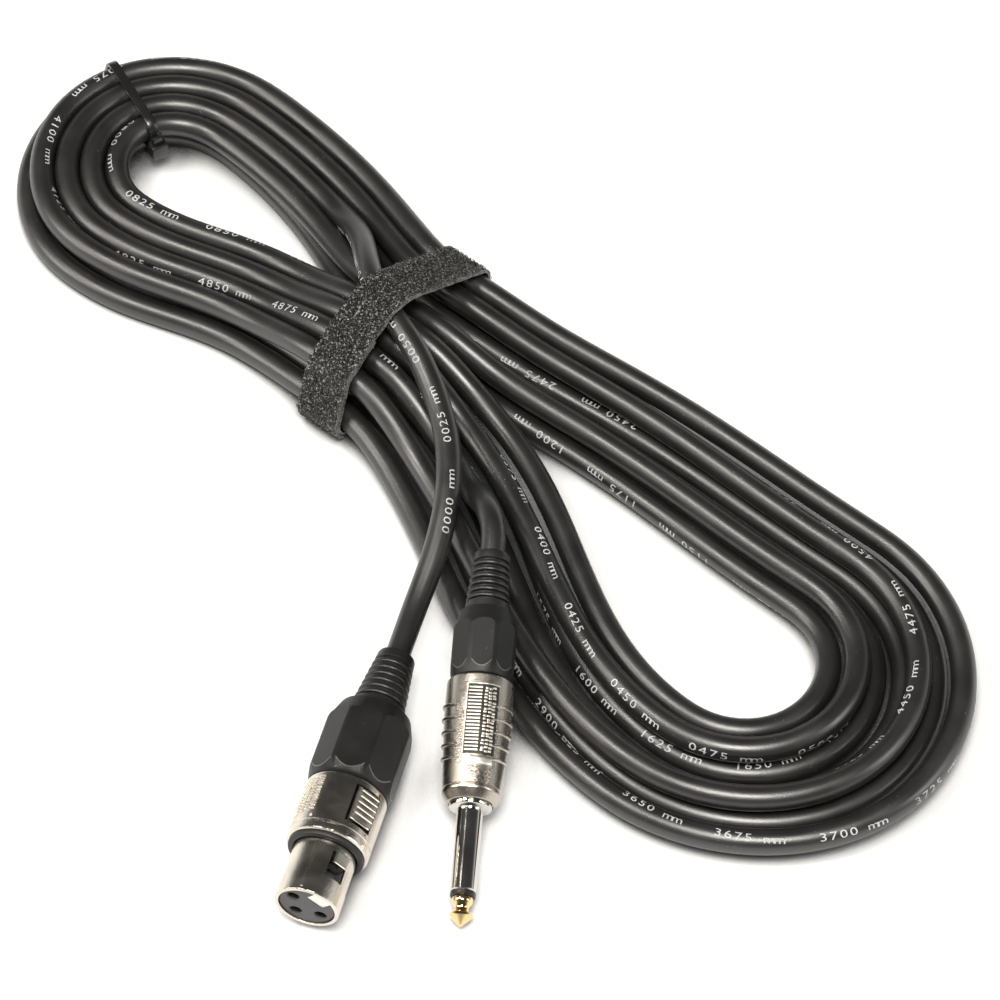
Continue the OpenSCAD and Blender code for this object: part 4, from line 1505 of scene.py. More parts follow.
@dataclass
class CableEnd:
    """What both connectors share: a ribbed boot and an eight-sided gland nut."""

    seat: Seat
    boot_len: float
    boot_rear_d: float
    boot_front_d: float
    gland_len: float
    gland_af: float
    gland_bore_r: float
    gland_wall: float
    cable_bore: float = 3.4
    slip: float = 0.3
    rib_depth: float = 0.8
    ribs: int = 6
    tail_share: float = 0.15
    collar_share: float = 0.17
    collar_rise: float = 0.32
    flange_out: float = 1.1
    flange_thick: float = 1.5
    thread_pitch: float = 1.5
    thread_deep: float = 0.45
    flats: int = 8
    corner_cut: float = 0.25
    corner_round: float = 0.35
    corner_steps: int = 3
    arch_low: float = 3.4
    arch_high: float = 1.0
    arch_sunk: float = 0.2
    arch_round: float = 0.16
    near_flat: float = 0.03
    near_cone: float = 0.05
    hole_ease: float = 0.4

    def seated(self, piece: Bench, even: bool = True) -> Bench:
        """Put a piece in its place on the connector, evenly shaded or not."""
        piece.place(self.seat.matrix())
        return piece.even_shade() if even else piece

    def thread(self, radius: float, low: float, high: float) -> list[Pair]:
        """The grooves of the screw thread that the gland nut runs on.

        Args:
            radius: the thread's outer radius.
            low: where it starts along the axis.
            high: where it ends.
        Returns:
            Stations of a profile.
        """
        pitch = self.thread_pitch
        starts = [low + k * pitch for k in range(int((high - low) / pitch))]
        return [(radius - deep * self.thread_deep, z + share * pitch)
                for z in starts for deep, share in THREAD]

    def boot_radius(self, z: float) -> float:
        """The boot's outer radius at a distance from its rear end."""
        rear, front = self.boot_rear_d / 2, self.boot_front_d / 2
        return rear + (front - rear) * z / self.boot_len

    def boot(self, name: str) -> Bench:
        """Turn the ribbed boot, with the neck and flange that sit in the gland nut.

        Args:
            name: the piece's name.
        Returns:
            The boot, in place.
        """
        rear, front, length = self.boot_rear_d / 2, self.boot_front_d / 2, self.boot_len
        bore, neck = self.cable_bore, front - self.rib_depth
        tail, collar = self.tail_share * length, self.collar_share * length
        r = self.boot_radius(tail)
        line = [(bore, 0.0), (rear - 0.7, 0.0), (rear - 0.25, 0.15), (rear, 0.6), (r - 0.15, tail - 0.2),
                (r - 0.3, tail)]
        pitch = (length - tail - collar) / self.ribs
        for k in range(self.ribs):
            z = tail + k * pitch
            r = self.boot_radius(z + pitch / 2)
            line += [(r - self.rib_depth, z + share * pitch) for share in RIB_GROOVE]
            line += [(r - drop, z + share * pitch) for drop, share in RIB]
        z = length - collar
        r = self.boot_radius(z)
        line += [(r - self.rib_depth, z + share * pitch) for share in COLLAR_GROOVE]
        end, flange = length + self.gland_wall + self.slip, neck + self.flange_out
        line += [(r, z + self.collar_rise * pitch), (front, length - 0.35), (front - 0.3, length),
                 (neck, length), (neck, end), (flange, end), (flange, end + self.flange_thick),
                 (bore, end + self.flange_thick), (bore, 0.0)]
        return self.seated(Bench.turned(name, line))

    def gland(self, name: str) -> Bench:
        """Cut the gland nut: eight flats on a turned blank, so that each flat ends in an arch.

        Args:
            name: the piece's name.
        Returns:
            The nut, in place; its arched edges have the second material, a painted highlight.
        """
        z, length = self.boot_len, self.gland_len - self.slip
        half, wedge, end = self.gland_af / 2, math.pi / self.flats, z + length
        corner = half / math.cos(wedge)
        free_hands()
        bpy.ops.mesh.primitive_cylinder_add(vertices=self.flats, radius=corner, depth=length + 2,
                                            location=(0, 0, z + length / 2), rotation=(0, 0, wedge))
        nut = Bench.fresh(name)
        nut.round_edges(lambda place, way: abs(way.z) > UPRIGHT, self.corner_round, self.corner_steps)
        back, blank, mouth = self.gland_bore_r + self.slip, corner - self.corner_cut, half - self.arch_sunk
        low, high = end - self.arch_low, end - self.arch_high
        profile = [(AXIS, z), (back - 0.25, z), (back + 0.1, z + 0.25), (blank - 0.5, z + 4.0),
                   (blank - 0.1, z + 4.7), (blank, z + 5.5), (blank, low), (mouth, high),
                   (half - 0.25, end - 0.35), (half - 0.6, end), (AXIS, end)]
        nut.work(Cut.COMMON, Bench.turned("blank", profile))

        def on_arch(place: Vector, _: Vector) -> bool:
            """Say whether an edge lies where a flat meets the front cone.

            Args:
                place: the edge's middle.
                _: its direction, which doesn't matter.
            Returns:
                Whether it lies there.
            """
            share = (place.z - low) / (high - low)
            cone = blank + (mouth - blank) * share
            turns = (2 * k * wedge for k in range(self.flats))
            flat = max(place.x * math.cos(turn) + place.y * math.sin(turn) for turn in turns)
            return (0 < share < 1 and abs(flat - half) < self.near_flat
                    and abs(math.hypot(place.x, place.y) - cone) < self.near_cone)
        nut.round_edges(on_arch, self.arch_round, 1)
        # The bevelled arch faces get the second material: a painted highlight.
        for face in nut.obj.data.polygons:
            face.material_index = int(face.select)
        hole = self.boot_front_d / 2 - self.rib_depth + self.hole_ease
        nut.work(Cut.AWAY, Bench.rod("hole", hole, (0, 0, z - 1), length + 2, 64),
                 Bench.rod("bore", self.gland_bore_r, (0, 0, z + self.gland_wall), length, 96))
        return nut.place(self.seat.matrix(False)).even_shade()

    def worn_gland(self, name: str, body: Body, node: str, coats: Coats) -> Object:
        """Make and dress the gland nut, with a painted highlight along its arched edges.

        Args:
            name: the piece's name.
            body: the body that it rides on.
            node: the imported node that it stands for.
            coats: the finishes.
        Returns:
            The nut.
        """
        nut = self.gland(name).dress(coats["gland"], body, "gland", node)
        # The lighter second material paints a highlight along the arches.
        nut.data.materials.append(coats["edge"])
        return nut


@dataclass
class SocketConnector(CableEnd):
    """The three-pole socket connector."""

    nose_r: float = 8.0
    relief: float = 0.2
    land: float = 5.0
    bore_r: float = 7.0
    body_r: float = 10.2
    body_len: float = 16.5
    nose_len: float = 16.0
    tail_len: float = 11.0
    tail_r: float = 8.4
    latch_w: float = 3.8
    slot_floor: float = 2.9
    lever: Pair = (4.5, 6.0)
    button_w: float = 6.4
    button_len: float = 9.0
    button_start: float = 2.4
    button_play: float = 0.8
    button_proud: float = 0.6
    button_ribs: int = 5
    rib_z: Pair = (0.6, 1.35)
    rib_y: Pair = (-0.8, 0.4)
    rib_short: float = 0.7
    cap_sunk: float = 0.5
    nub_back: float = 12.6
    hook_len: float = 3.2
    hook_proud: float = 0.5
    eye_ahead: float = 0.5
    eye_r: float = 1.2
    eye_hole: float = 0.65
    window_len: float = 7.4
    seam: Pair = (0.6, 0.42)
    seam_ends: Pair = (1.6, 0.9)
    seam_round: float = 0.16
    seam_sunk: float = 0.12
    seam_turn: float = 50.0
    insert_back: float = 2.0
    insert_sunk: float = 0.4
    fit: float = 0.05
    leaf_z: Pair = (1.0, 0.5)
    leaf_short: float = 0.4
    pole_r: float = 4.4
    pole_hole: float = 1.5
    pole_bore: float = 1.85
    pad_wide: float = 8.0
    pad_long: float = 10.2
    pad_start: float = 1.4
    pad_rows: int = 13
    pad_across: int = 5
    pad_side: float = 180.0
    pad_lean: float = 0.12
    pad_lift: Pair = (-0.08, 0.06)
    pad_slip: Pair = (-0.12, 0.12)
    pad_seed: int = 5
    pad_round: Pair = (0.13, 0.15)
    pad_bar: Pair = (0.7, 1.6)
    pad_bar_proud: float = 0.2
    ridge: Triple = (0.3, 0.46, 0.3)

    def __post_init__(self) -> None:
        """Work out the stations along the axis."""
        self.body_z = self.boot_len + self.gland_len
        self.nose_z = self.body_z + self.body_len
        self.face_z = self.nose_z + self.nose_len
        self.tail_z = self.body_z - self.tail_len
        self.slot_w = self.latch_w + 4 * self.slip
        self.button_z = self.body_z + self.button_start
        self.nub_z = self.face_z - self.nub_back

    def block(self, name: str, wide: float, y0: float, y1: float, z0: float, z1: float,
              bevel: float = 0.0) -> Bench:
        """A box centred on X, between two heights Y and two stations Z, with rounded edges."""
        return Bench.cube(name, (-wide / 2, y0, z0), (wide / 2, y1, z1), bevel)

    def button_room(self, name: str, low: float, high: float) -> Bench:
        """The room between two heights that the push button moves in."""
        return self.block(name, self.button_w + 4 * self.slip, low, high, self.button_z - 2 * self.slip,
                          self.button_z + self.button_len + self.button_play)

    def shell(self) -> Bench:
        """Turn the shell, cut its slots, and add the seam.

        Returns:
            The piece, in place.
        """
        b, n, f = self.body_z, self.nose_z, self.face_z
        r, nose, body = self.bore_r, self.nose_r, self.body_r
        neck, tail, tail_z = nose - self.relief, self.tail_r, self.tail_z
        profile = [(r, tail_z), (tail - 0.4, tail_z), (tail, tail_z + 0.4),
                   *self.thread(tail, tail_z + 0.8, b - 0.8), (tail, b), (body - 0.55, b),
                   (body - 0.15, b + 0.15), (body, b + 0.55), (body, n - 2.9),
                   (body - 0.22, n - 2.7), (body - 0.22, n - 2.35), (body, n - 2.1), (body, n - 0.75),
                   (body - 0.1, n - 0.35), (body - 0.4, n - 0.08), (body - 0.7, n), (neck + 0.3, n),
                   (neck + 0.08, n + 0.1), (neck, n + 0.35), (neck, f - self.land - 0.5),
                   (nose, f - self.land - 0.35), (nose, f - 0.3), (nose - 0.05, f - 0.13),
                   (nose - 0.13, f - 0.04), (nose - 0.26, f), (r + 0.1, f), (r + 0.03, f - 0.03),
                   (r, f - 0.12), (r, tail_z)]
        shell = Bench.turned("socket_shell_cast", profile, 128)
        start = self.nub_z - 2 * self.slip
        window = self.block("window", self.slot_w, self.slot_floor, nose + 1, start, start + self.window_len)
        shell.work(Cut.AWAY, window, self.button_room("button_slot", self.lever[1] - 1, body + 2))
        seam = self.block("seam", self.seam[0], 0, self.seam[1], n + self.seam_ends[0], f - self.seam_ends[1],
                          self.seam_round)
        seam.shift((0, neck - self.seam_sunk, 0))
        seam.obj.data.transform(Matrix.Rotation(math.radians(self.seam_turn), 4, "Z"))
        return self.seated(shell.add(seam))

    def pad(self) -> Bench:
        """The grained pad on the body's side: rows of short ridges, with a plain bar in front.

        Returns:
            The piece, in place.
        """
        chance = np.random.default_rng(self.pad_seed)
        wide, long, deep = self.pad_wide, self.pad_long, self.ridge[0]
        pitch, cell = long / self.pad_rows, wide / self.pad_across
        corner = np.array([deep, self.ridge[1] * cell, self.ridge[2] * pitch])
        ridge = Bench.cube("ridge", -corner, corner, self.pad_round[0])
        made = []
        for row in range(self.pad_rows):
            for k in range(self.pad_across):
                y = (k + 0.5) * cell - wide / 2
                lift, slip = chance.uniform(*self.pad_lift), chance.uniform(*self.pad_slip)
                made.append(ridge.copy((lift, y, (row + 0.5) * pitch - long / 2 + self.pad_lean * y + slip)))
        rear, front = (long / 2 + ahead for ahead in self.pad_bar)
        made.append(Bench.cube("pad_bar", (-deep, -wide / 2, rear), (self.pad_bar_proud, wide / 2, front),
                               self.pad_round[1]))
        ridge.scrap()
        middle = self.body_z + self.pad_start + long / 2
        for piece in made:
            piece.wrap(lambda z: np.full_like(z, self.body_r), self.pad_side, middle)
        return self.seated(Bench.joined("socket_grip_pad", made))

    def insert(self) -> Bench:
        """Turn the insert and cut its poles, its latch slot and its keyway.

        Returns:
            The piece, in place.
        """
        z0, z1 = self.body_z - self.insert_back, self.face_z - self.insert_sunk
        r, bore, hole = self.bore_r - self.fit, self.pole_bore, self.pole_hole
        body = Bench.turned("socket_insert_moulded",
                            [(AXIS, z0), (r, z0), (r, z1 - 0.25), (r - 0.25, z1), (AXIS, z1)])
        slot = self.block("slot", self.slot_w, self.slot_floor, self.bore_r + 1, z0 - 1, self.face_z + 1)
        body.work(Cut.AWAY, slot, self.button_room("button_room", self.lever[0], self.bore_r + 1))
        pole = [(AXIS, z0 - 1), (bore, z0 - 1), (bore, z1 - 0.6), (hole, z1 - 0.55), (hole, z1 - 0.25),
                (hole + 0.3, z1 + 0.05), (AXIS, z1 + 0.05)]
        for x, y in ((self.pole_r, 0), (-self.pole_r, 0), (0, -self.pole_r)):
            cutter = Bench.turned("pole", pole, 40)
            cutter.obj.data.transform(Matrix.Translation((x, y, 0)))
            body.work(Cut.AWAY, cutter)
        return self.seated(body, False)

    def key_leaf(self) -> Bench:
        """The bright plate that fills the keyway just behind the face.

        Returns:
            The piece, in place.
        """
        rear, front = (self.face_z - back for back in self.leaf_z)
        leaf = self.block("key_leaf", self.slot_w - 2 * self.fit, self.slot_floor + self.fit,
                          self.bore_r - self.leaf_short, rear, front, 0.08)
        return self.seated(leaf, False)

    def latch(self) -> Bench:
        """The latch lever, with its hook and its ribbed push button.

        Returns:
            The piece, in place.
        """
        low, high = self.lever
        eye_y, eye_z = (low + high) / 2, self.body_z + self.eye_ahead
        nub, b, wide = self.nub_z, self.button_z, self.latch_w
        top = self.body_r + self.button_proud
        cap, end, tip = top - self.cap_sunk, b + self.button_len, nub + self.hook_len
        lever = self.block("socket_latch_lever", wide, low, high, eye_z, tip, 0.15)
        parts = [self.block("hook", wide, low, self.nose_r + self.hook_proud, nub, tip, 0.3),
                 self.block("stem", wide, low, cap, b, end, 0.1),
                 self.block("cap", self.button_w, high + 1, cap, b, end, 0.3)]
        step = (self.button_len - 2 * self.rib_z[0]) / self.button_ribs
        rib = self.block("rib", self.button_w - self.rib_short, *(top + y for y in self.rib_y),
                         *(b + z for z in self.rib_z), 0.22)
        parts += [rib, *(rib.copy((0, 0, k * step)) for k in range(1, self.button_ribs))]
        eye = Bench.rod("eye", self.eye_r, (-wide / 2, eye_y, eye_z), wide, 32, True)
        hole = Bench.rod("eye_hole", self.eye_hole, (-wide, eye_y, eye_z), 2 * wide, 24, True)
        lever.work(Cut.ONTO, eye).work(Cut.AWAY, hole)
        return self.seated(lever.add(*parts))

    def ring(self) -> Bench:
        """The black ring at the shoulder.

        Returns:
            The piece, in place.
        """
        a, b, z = self.nose_r + 0.05, self.body_r - 0.7, self.nose_z
        profile = [(a, z), (b - 0.15, z), (b, z + 0.2), (b, z + 0.75), (b - 0.12, z + 1.05),
                   (b - 0.4, z + 1.2), (a + 0.2, z + 1.2), (a, z + 1.05), (a, z)]
        return self.seated(Bench.turned("socket_shoulder_ring", profile), False)

    def build(self, coats: Coats) -> list[Object]:
        """Make and dress every visible piece.

        Args:
            coats: the finishes.
        Returns:
            The pieces.
        """
        return [
            self.shell().dress(coats["nickel"], Body.CABLE, "nickel", "socket_shell"),
            self.insert().dress(coats["insert"], Body.CABLE, "insert", "socket_insert"),
            self.key_leaf().dress(coats["pad"], Body.CABLE, "latch"),
            self.pad().dress(coats["pad"], Body.CABLE, "nickel"),
            self.latch().dress(coats["latch"], Body.LATCH, "latch", "socket_latch"),
            self.ring().dress(coats["ring"], Body.CABLE, "ring", "socket_ring"),
            self.worn_gland("socket_gland_nut", Body.SOCKET_GLAND, "socket_gland", coats),
            self.boot("socket_ribbed_boot").dress(coats["boot"], Body.SOCKET_BOOT, "boot", "socket_boot"),
        ]


# The tip in front of the band: radius, and distance from the band.
TIP = ((2.35, 0.0), (2.5, 0.12), (2.55, 0.4), (2.55, 1.15), (2.48, 1.45), (2.3, 1.7), (1.9, 2.35),
       (1.76, 2.7), (1.75, 3.1), (1.8, 3.4), (2.0, 3.62), (2.7, 4.3), (2.86, 4.5), (2.9, 4.66),
       (2.84, 4.84), (2.6, 5.1))
# The tip's rounded end: radius, and distance from the point.
POINT = ((0.75, 0.5), (0.5, 0.25), (0.25, 0.08), (AXIS, 0.0))


@dataclass
class PhonePlug(CableEnd):
    """The mono phone plug."""

    barrel_r: float = 8.25
    front_r: float = 7.25
    barrel_len: float = 31.5
    plug_r: float = 3.175
    plug_len: float = 31.0
    tail_len: float = 9.0
    tail_r: float = 5.9
    tail_bore: float = 4.9
    cavity_r: float = 6.0
    shank_r: float = 3.9
    flange_r: float = 5.2
    liner_r: float = 2.05
    rod_r: float = 1.5
    tip_len: float = 7.4
    band_t: float = 1.3
    flare_share: float = 0.3
    front_len: float = 3.0
    side_ribs: int = 5
    side_start: float = 7.3
    side_pitch: float = 3.4
    side_rib: Triple = (0.8, 6.0, 0.55)
    side_turns: tuple = ((108, 0.16), (252, -0.16))
    panel_side: float = 171.0
    panel_wide: float = 8.0
    panel_long: float = 18.0
    panel_start: float = 3.0
    panel_rows: int = 19
    panel_seed: int = 9
    panel_floor_up: float = 0.06
    panel_floor_t: float = 0.3
    panel_cells: tuple[int, int] = (14, 4)
    panel_rib: Pair = (0.35, 0.45)
    panel_shares: Pair = (0.27, 0.33)
    panel_round: Pair = (0.1, 0.13)
    frame_w: float = 0.3
    frame_lip: float = 0.1
    panel_low: float = -0.3
    panel_top: float = 0.42
    stud_rows: Triple = (-0.75, -1.75, -2.75)
    stud_half: float = 0.42
    stud_play: tuple[Pair, Pair, Pair] = ((-0.1, 0.05), (-0.1, 0.1), (-0.2, 0.2))
    bar: Triple = (5.4, 2.0, 0.8)
    bar_place: Triple = (0.5, -0.8, 1.6)
    bar_cells: tuple[int, int] = (10, 3)
    bar_round: float = 0.2

    def __post_init__(self) -> None:
        """Work out the stations along the axis."""
        self.barrel_z = self.boot_len + self.gland_len
        self.shoulder_z = self.barrel_z + self.barrel_len
        self.point_z = self.shoulder_z + self.plug_len
        self.band_z = self.point_z - self.tip_len - self.band_t
        self.flare_z = self.barrel_z + self.barrel_len * self.flare_share

    def barrel_radius(self, z: np.ndarray) -> np.ndarray:
        """The barrel's radius at each z."""
        share = np.clip((z - self.flare_z) / (self.shoulder_z - self.front_len - self.flare_z), 0, 1)
        return self.barrel_r + (self.front_r - self.barrel_r) * share

    def barrel(self) -> Bench:
        """Turn the barrel and add its side ribs.

        Returns:
            The piece, in place.
        """
        b, s, f, r = self.barrel_z, self.shoulder_z, self.front_r, self.barrel_r
        neck, bore, z = self.tail_r, self.tail_bore, b - self.tail_len
        flange, shank, room = self.flange_r, self.shank_r, self.cavity_r
        profile = [(bore, z), (neck - 0.3, z), (neck, z + 0.3),
                   *self.thread(neck, z + 0.6, b - 0.8), (neck, b), (r - 0.45, b), (r - 0.1, b + 0.15),
                   (r, b + 0.5), (r, self.flare_z), (f + 0.03, s - 3.4),
                   (f - 0.25, s - 3.25), (f - 0.25, s - 3.0), (f, s - 2.8), (f, s - 2.3), (f - 0.12, s - 2.0),
                   (f - 1.2, s - 0.2), (f - 1.5, s), (flange + 0.35, s), (flange + 0.25, s - 0.25),
                   (shank, s - 0.25), (shank, s - 2.5), (room, s - 2.5), (room, b + 1), (bore, b + 1),
                   (bore, z)]
        return self.seated(Bench.turned("plug_barrel_cast", profile).add(*self.crescents()))

    def rolled(self, piece: Bench) -> Bench:
        """Lay a flat piece of the panel on the barrel."""
        middle = self.barrel_z + self.panel_start + self.panel_long / 2
        return piece.wrap(self.barrel_radius, self.panel_side, middle)

    def panel_floor(self) -> Bench:
        """The panel's dark ground: painted shade of its recesses, with dirt.

        Returns:
            The piece, in place.
        """
        floor = Bench.plate("plug_panel_floor", self.panel_wide, self.panel_long, self.panel_cells)
        floor.shift((self.panel_floor_up, 0, 0))
        floor.modify("SOLIDIFY", thickness=self.panel_floor_t, offset=-1.0)
        return self.seated(self.rolled(floor), False)

    def panel(self) -> Bench:
        """The panel on top: a ribbed column, a studded column, a thin frame and a bar in front.

        Returns:
            The piece, in place.
        """
        edge, end, low, top = self.panel_wide / 2, self.panel_long / 2, self.panel_low, self.panel_top
        pitch = (self.panel_long - 1) / self.panel_rows
        chance = np.random.default_rng(self.panel_seed)
        wide, long, thick = self.bar
        up, across, ahead = self.bar_place
        bar = Bench.plate("bar", wide, long, self.bar_cells).shift((up, across, end + ahead))
        bar.modify("SOLIDIFY", thickness=thick, offset=-1.0).soften(self.bar_round)
        frame, lip, (fine, coarse) = self.frame_w, self.frame_lip, self.panel_round
        made = [bar, Bench.cube("frame_left", (low, edge - frame, -end), (top + lip, edge, end), fine)]
        made += [Bench.cube("frame_rear", (low, k * edge / 2, -end - frame),
                            (top, (k + 1) * edge / 2, -end + lip), fine) for k in range(-2, 2)]
        rib_half, stud_half = (share * pitch for share in self.panel_shares)
        near, far, half = self.panel_rib[0], edge - self.panel_rib[1], self.stud_half
        rib = Bench.cube("rib", (low, near, -rib_half), (top, far, rib_half), fine)
        stud = Bench.cube("stud", (low, -half, -stud_half), (top - lip, half, stud_half), coarse)
        for k in range(self.panel_rows):
            z = 0.5 + (k + 0.5) * pitch - end
            made.append(rib.copy((0, 0, z)))
            for y in self.stud_rows:
                slip = [chance.uniform(*play) for play in self.stud_play]
                made.append(stud.copy(np.add((0, y, z), slip)))
        rib.scrap()
        stud.scrap()
        return self.seated(Bench.joined("plug_panel", [self.rolled(piece) for piece in made]))

    def crescents(self) -> list[Bench]:
        """The curved ribs on both sides: one is shaped, and the rest are its copies.

        Returns:
            The ribs, not yet in place.
        """
        free_hands()
        bpy.ops.mesh.primitive_uv_sphere_add(segments=12, ring_count=18, radius=1,
                                             rotation=(math.pi / 2, 0, 0))
        bpy.context.view_layer.objects.active.scale = (0.75, 1, 1)
        first = Bench.fresh("crescent")
        first.move_points(first.points() * self.side_rib)
        made = []
        for k in range(self.side_ribs):
            z = self.barrel_z + self.side_start + k * self.side_pitch
            for towards, lean in self.side_turns:
                rib = first.copy((0, 0, 0))
                q = rib.points()
                q[:, 2] += lean * q[:, 1]
                rib.move_points(q)
                made.append(rib.wrap(self.barrel_radius, towards, z))
        first.scrap()
        return made

    def sleeve(self) -> Bench:
        """Turn the plug's sleeve with its flange.

        Returns:
            The piece, in place.
        """
        s, r, bore, z = self.shoulder_z, self.plug_r, self.liner_r + 0.05, self.band_z
        flange, shank = self.flange_r, self.shank_r - 0.05
        profile = [(bore, s - 4.5), (flange, s - 4.5), (flange, s - 2.5), (shank, s - 2.5), (shank, s - 0.2),
                   (flange - 0.1, s - 0.2), (flange, s - 0.05), (flange, s + 0.75), (flange - 0.12, s + 1.0),
                   (flange - 0.45, s + 1.2), (r + 0.35, s + 1.2), (r + 0.1, s + 1.28), (r, s + 1.5),
                   (r, z - 0.25), (r - 0.2, z), (bore, z), (bore, s - 4.5)]
        return self.seated(Bench.turned("plug_sleeve_turned", profile))

    def band(self) -> Bench:
        """Turn the black liner, with the band that shows in front of the sleeve.

        Returns:
            The piece, in place.
        """
        a, r, rear = self.rod_r + 0.05, self.plug_r - 0.1, self.shoulder_z - 5.3
        z, end = self.band_z, self.band_z + self.band_t
        profile = [(a, rear), (self.liner_r, rear), (self.liner_r, z), (r - 0.12, z), (r, z + 0.15),
                   (r, end - 0.15), (r - 0.12, end), (a, end), (a, rear)]
        return self.seated(Bench.turned("plug_liner_band", profile, 72), False)

    def tip(self) -> Bench:
        """Turn the gilt tip: rod, collar, neck and cone.

        Returns:
            The piece, in place.
        """
        z, rear = self.band_z + self.band_t, self.shoulder_z - 10.3
        profile = [(AXIS, rear), (self.rod_r, rear), (self.rod_r, z), *((r, z + ahead) for r, ahead in TIP),
                   *((r, self.point_z - back) for r, back in POINT)]
        return self.seated(Bench.turned("plug_tip_turned", profile, 72))

    def build(self, coats: Coats) -> list[Object]:
        """Make and dress every visible piece.

        Args:
            coats: the finishes.
        Returns:
            The pieces.
        """
        return [
            self.barrel().dress(coats["cast"], Body.CABLE, "nickel", "plug_barrel"),
            self.panel().dress(coats["pad"], Body.CABLE, "nickel"),
            self.panel_floor().dress(coats["recess"], Body.CABLE, "nickel"),
            self.sleeve().dress(coats["steel"], Body.CABLE, "plug_steel", "plug_sleeve"),
            self.band().dress(coats["liner"], Body.CABLE, "liner", "plug_liner"),
            self.tip().dress(coats["gold"], Body.CABLE, "gold", "plug_tip"),
            self.worn_gland("plug_gland_nut", Body.PLUG_GLAND, "plug_gland", coats),
            self.boot("plug_ribbed_boot").dress(coats["boot"], Body.PLUG_BOOT, "boot", "plug_boot"),
        ]


INNER_FINISH = {
    "socket_contact_1": "contact", "socket_contact_2": "contact", "socket_contact_3": "contact",
    "socket_latch_pin": "spring", "socket_latch_spring": "spring", "socket_chuck": "chuck",
    "socket_core_red": "core_red", "socket_core_white": "core_white", "socket_screen": "copper",
    "plug_ground_lug": "latch", "plug_washer": "washer", "plug_tip_lug": "contact", "plug_chuck": "chuck",
    "plug_core": "core_red", "plug_screen": "copper",
}


def dress_inner(nodes: dict[str, Object], coats: Coats) -> None:
    """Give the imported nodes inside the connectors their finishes.

    Args:
        nodes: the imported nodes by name.
        coats: the finishes.
    """
    for name, finish in INNER_FINISH.items():
        nodes[name].data.materials.clear()
        nodes[name].data.materials.append(coats[finish])


@dataclass(frozen=True)
class Softbox:
    """A soft lamp: its place and sides in metres, its power in watts."""

    name: str
    place: Triple
    size: Pair
    power: float
    colour: Colour

    def hang(self, aim: Vector) -> None:
        """Hang the lamp.

        Args:
            aim: the point that it faces.
        """
        data = bpy.data.lights.new(self.name, "AREA")
        data.shape = "RECTANGLE"
        data.size, data.size_y = self.size
        data.energy = self.power
        data.color = self.colour
        obj = bpy.data.objects.new(self.name, data)
        obj.location = self.place
        obj.rotation_euler = (aim - Vector(self.place)).to_track_quat("-Z", "Y").to_euler()
        bpy.context.scene.collection.objects.link(obj)


SOFTBOXES = (
    Softbox("top_softbox", (0.36, -0.40, 1.25), (0.45, 0.45), 19.0, (1.0, 0.96, 0.90)),
    Softbox("left_softbox", (-0.80, -0.85, 0.70), (0.45, 0.6), 6.5, (1.0, 0.95, 0.88)),
    Softbox("high_softbox", (-0.38, -0.46, 1.05), (0.3, 0.3), 6.0, (1.0, 0.96, 0.90)),
    Softbox("right_softbox", (1.05, 0.45, 0.55), (0.3, 0.6), 3.0, (1.0, 0.97, 0.93)),
)
# The room's light from the horizon to overhead: the two ends, then what lies between.
SKY = ((0.0, (1, 1, 1)), (1.0, (0.05, 0.05, 0.052)), (0.08, (0.9, 0.9, 0.9)), (0.22, (0.25, 0.25, 0.25)),
       (0.45, (0.06, 0.06, 0.06)))
# The paper's tone with painted shade: where the runs shut it in, and where it lies open.
PAPER_PAINTED_SHADE = ((0.30, (0.03, 0.03, 0.03)), (0.62, (0.93, 0.93, 0.93)))


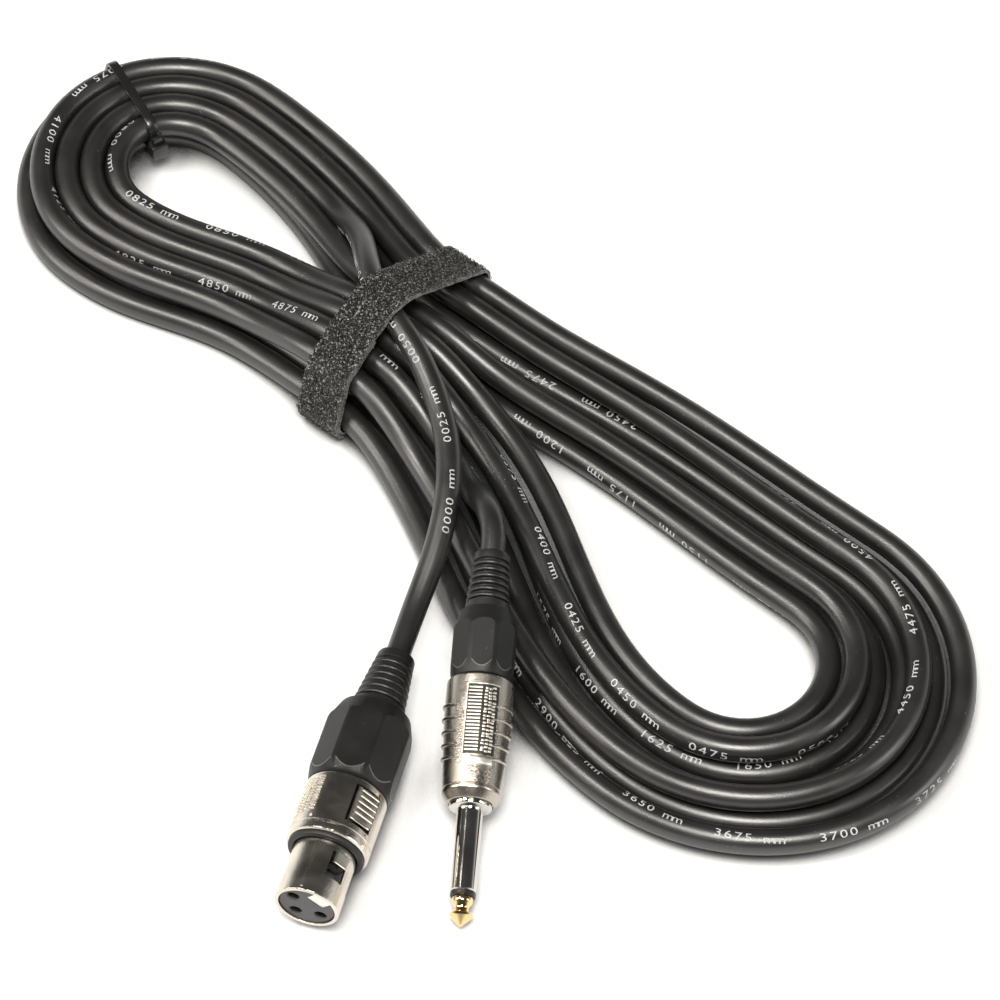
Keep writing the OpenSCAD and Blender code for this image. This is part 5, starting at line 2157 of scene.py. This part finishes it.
@dataclass
class Studio:
    """The camera, the pale floor and the soft lights, in metres."""

    look_at: Triple = (0.05025, -0.01788, 0.0)
    forward: Triple = (-0.3869, 0.4610, -0.7986)
    distance: float = 1.1
    lens: float = 154.4
    sensor: float = 36.0
    clip: Pair = (0.05, 50)
    floor_size: float = 12.0
    floor_drop: float = 0.0002
    nook: float = 0.012
    nook_samples: int = 8
    glow: float = 0.35

    def camera(self) -> None:
        """Set up the camera at the photograph's angle."""
        data = bpy.data.cameras.new("camera")
        data.lens = self.lens
        data.sensor_width = self.sensor
        data.clip_start, data.clip_end = self.clip
        obj = bpy.data.objects.new("camera", data)
        ahead = Vector(self.forward).normalized()
        obj.location = Vector(self.look_at) - ahead * self.distance
        obj.rotation_euler = ahead.to_track_quat("-Z", "Y").to_euler()
        bpy.context.scene.collection.objects.link(obj)
        bpy.context.scene.camera = obj

    def floor(self) -> None:
        """Lay the pale floor, white where nothing shades it, and darkened with painted shade in the slits
        between the runs.
        """
        free_hands()
        bpy.ops.mesh.primitive_plane_add(size=self.floor_size, location=(0, 0, -self.floor_drop))
        floor = bpy.context.view_layer.objects.active
        floor.name = "floor"
        material = bpy.data.materials.new("floor_paper")
        n = Nodes(material)
        shut = n.node("AmbientOcclusion", samples=self.nook_samples, Distance=self.nook)
        # The occlusion ramp paints shade into the paper's colour in the slits and along the runs' feet.
        paper_painted_shade = n.ramp(shut.outputs["AO"], *PAPER_PAINTED_SHADE)
        seen = n.node("LightPath").outputs
        rays = seen["Is Camera Ray"]
        for kind in ("Is Glossy Ray", "Is Transmission Ray"):
            rays = n.math("MAXIMUM", rays, seen[kind])
        matte, glow = (n.node(kind, Color=paper_painted_shade).outputs[0] for kind in ("BsdfDiffuse", "Emission"))
        both = n.mixed("MixShader", {0: n.math("MULTIPLY", rays, self.glow), 1: matte, 2: glow})
        n.node("OutputMaterial", Surface=both.outputs[0])
        floor.data.materials.append(material)

    def world(self) -> None:
        """Light the room: white at the horizon, dim overhead."""
        world = bpy.data.worlds.new("room")
        bpy.context.scene.world = world
        n = Nodes(world)
        split = n.node("SeparateXYZ", Vector=n.node("TexCoord").outputs["Generated"])
        back = n.node("Background", Color=n.ramp(split.outputs["Z"], *SKY))
        n.node("OutputWorld", Surface=back.outputs[0])

    def build(self) -> None:
        """Set up everything round the object."""
        self.floor()
        self.world()
        for softbox in SOFTBOXES:
            softbox.hang(Vector(self.look_at))
        bpy.context.scene.view_settings.view_transform = "Standard"


def main() -> None:
    """Build the object piece by piece, and report each one."""
    logging.basicConfig(level=logging.INFO, format="%(name)s: %(message)s")
    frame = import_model()
    studio = Studio()
    studio.camera()
    coats = Finishes().materials()
    route = HankRoute()
    jacket = CableJacket(route)
    tube = jacket.build(coats)
    ink = JacketPrint(jacket).build(coats)
    strap = Strap(route).build(coats)
    tie = CableTie(route).build(coats)
    SocketConnector(SOCKET_SEAT, boot_len=18.0, boot_rear_d=9.6, boot_front_d=14.0, gland_len=23.5,
                    gland_af=20.8, gland_bore_r=8.75, gland_wall=1.8).build(coats)
    plug = PhonePlug(PLUG_SEAT, boot_len=16.0, boot_rear_d=9.2, boot_front_d=11.2, gland_len=19.0,
                     gland_af=15.4, gland_bore_r=6.25, gland_wall=1.6).build(coats)
    dress_inner(frame["nodes"], coats)
    jacket.declare()
    studio.build()


if __name__ == "__main__":
    main()
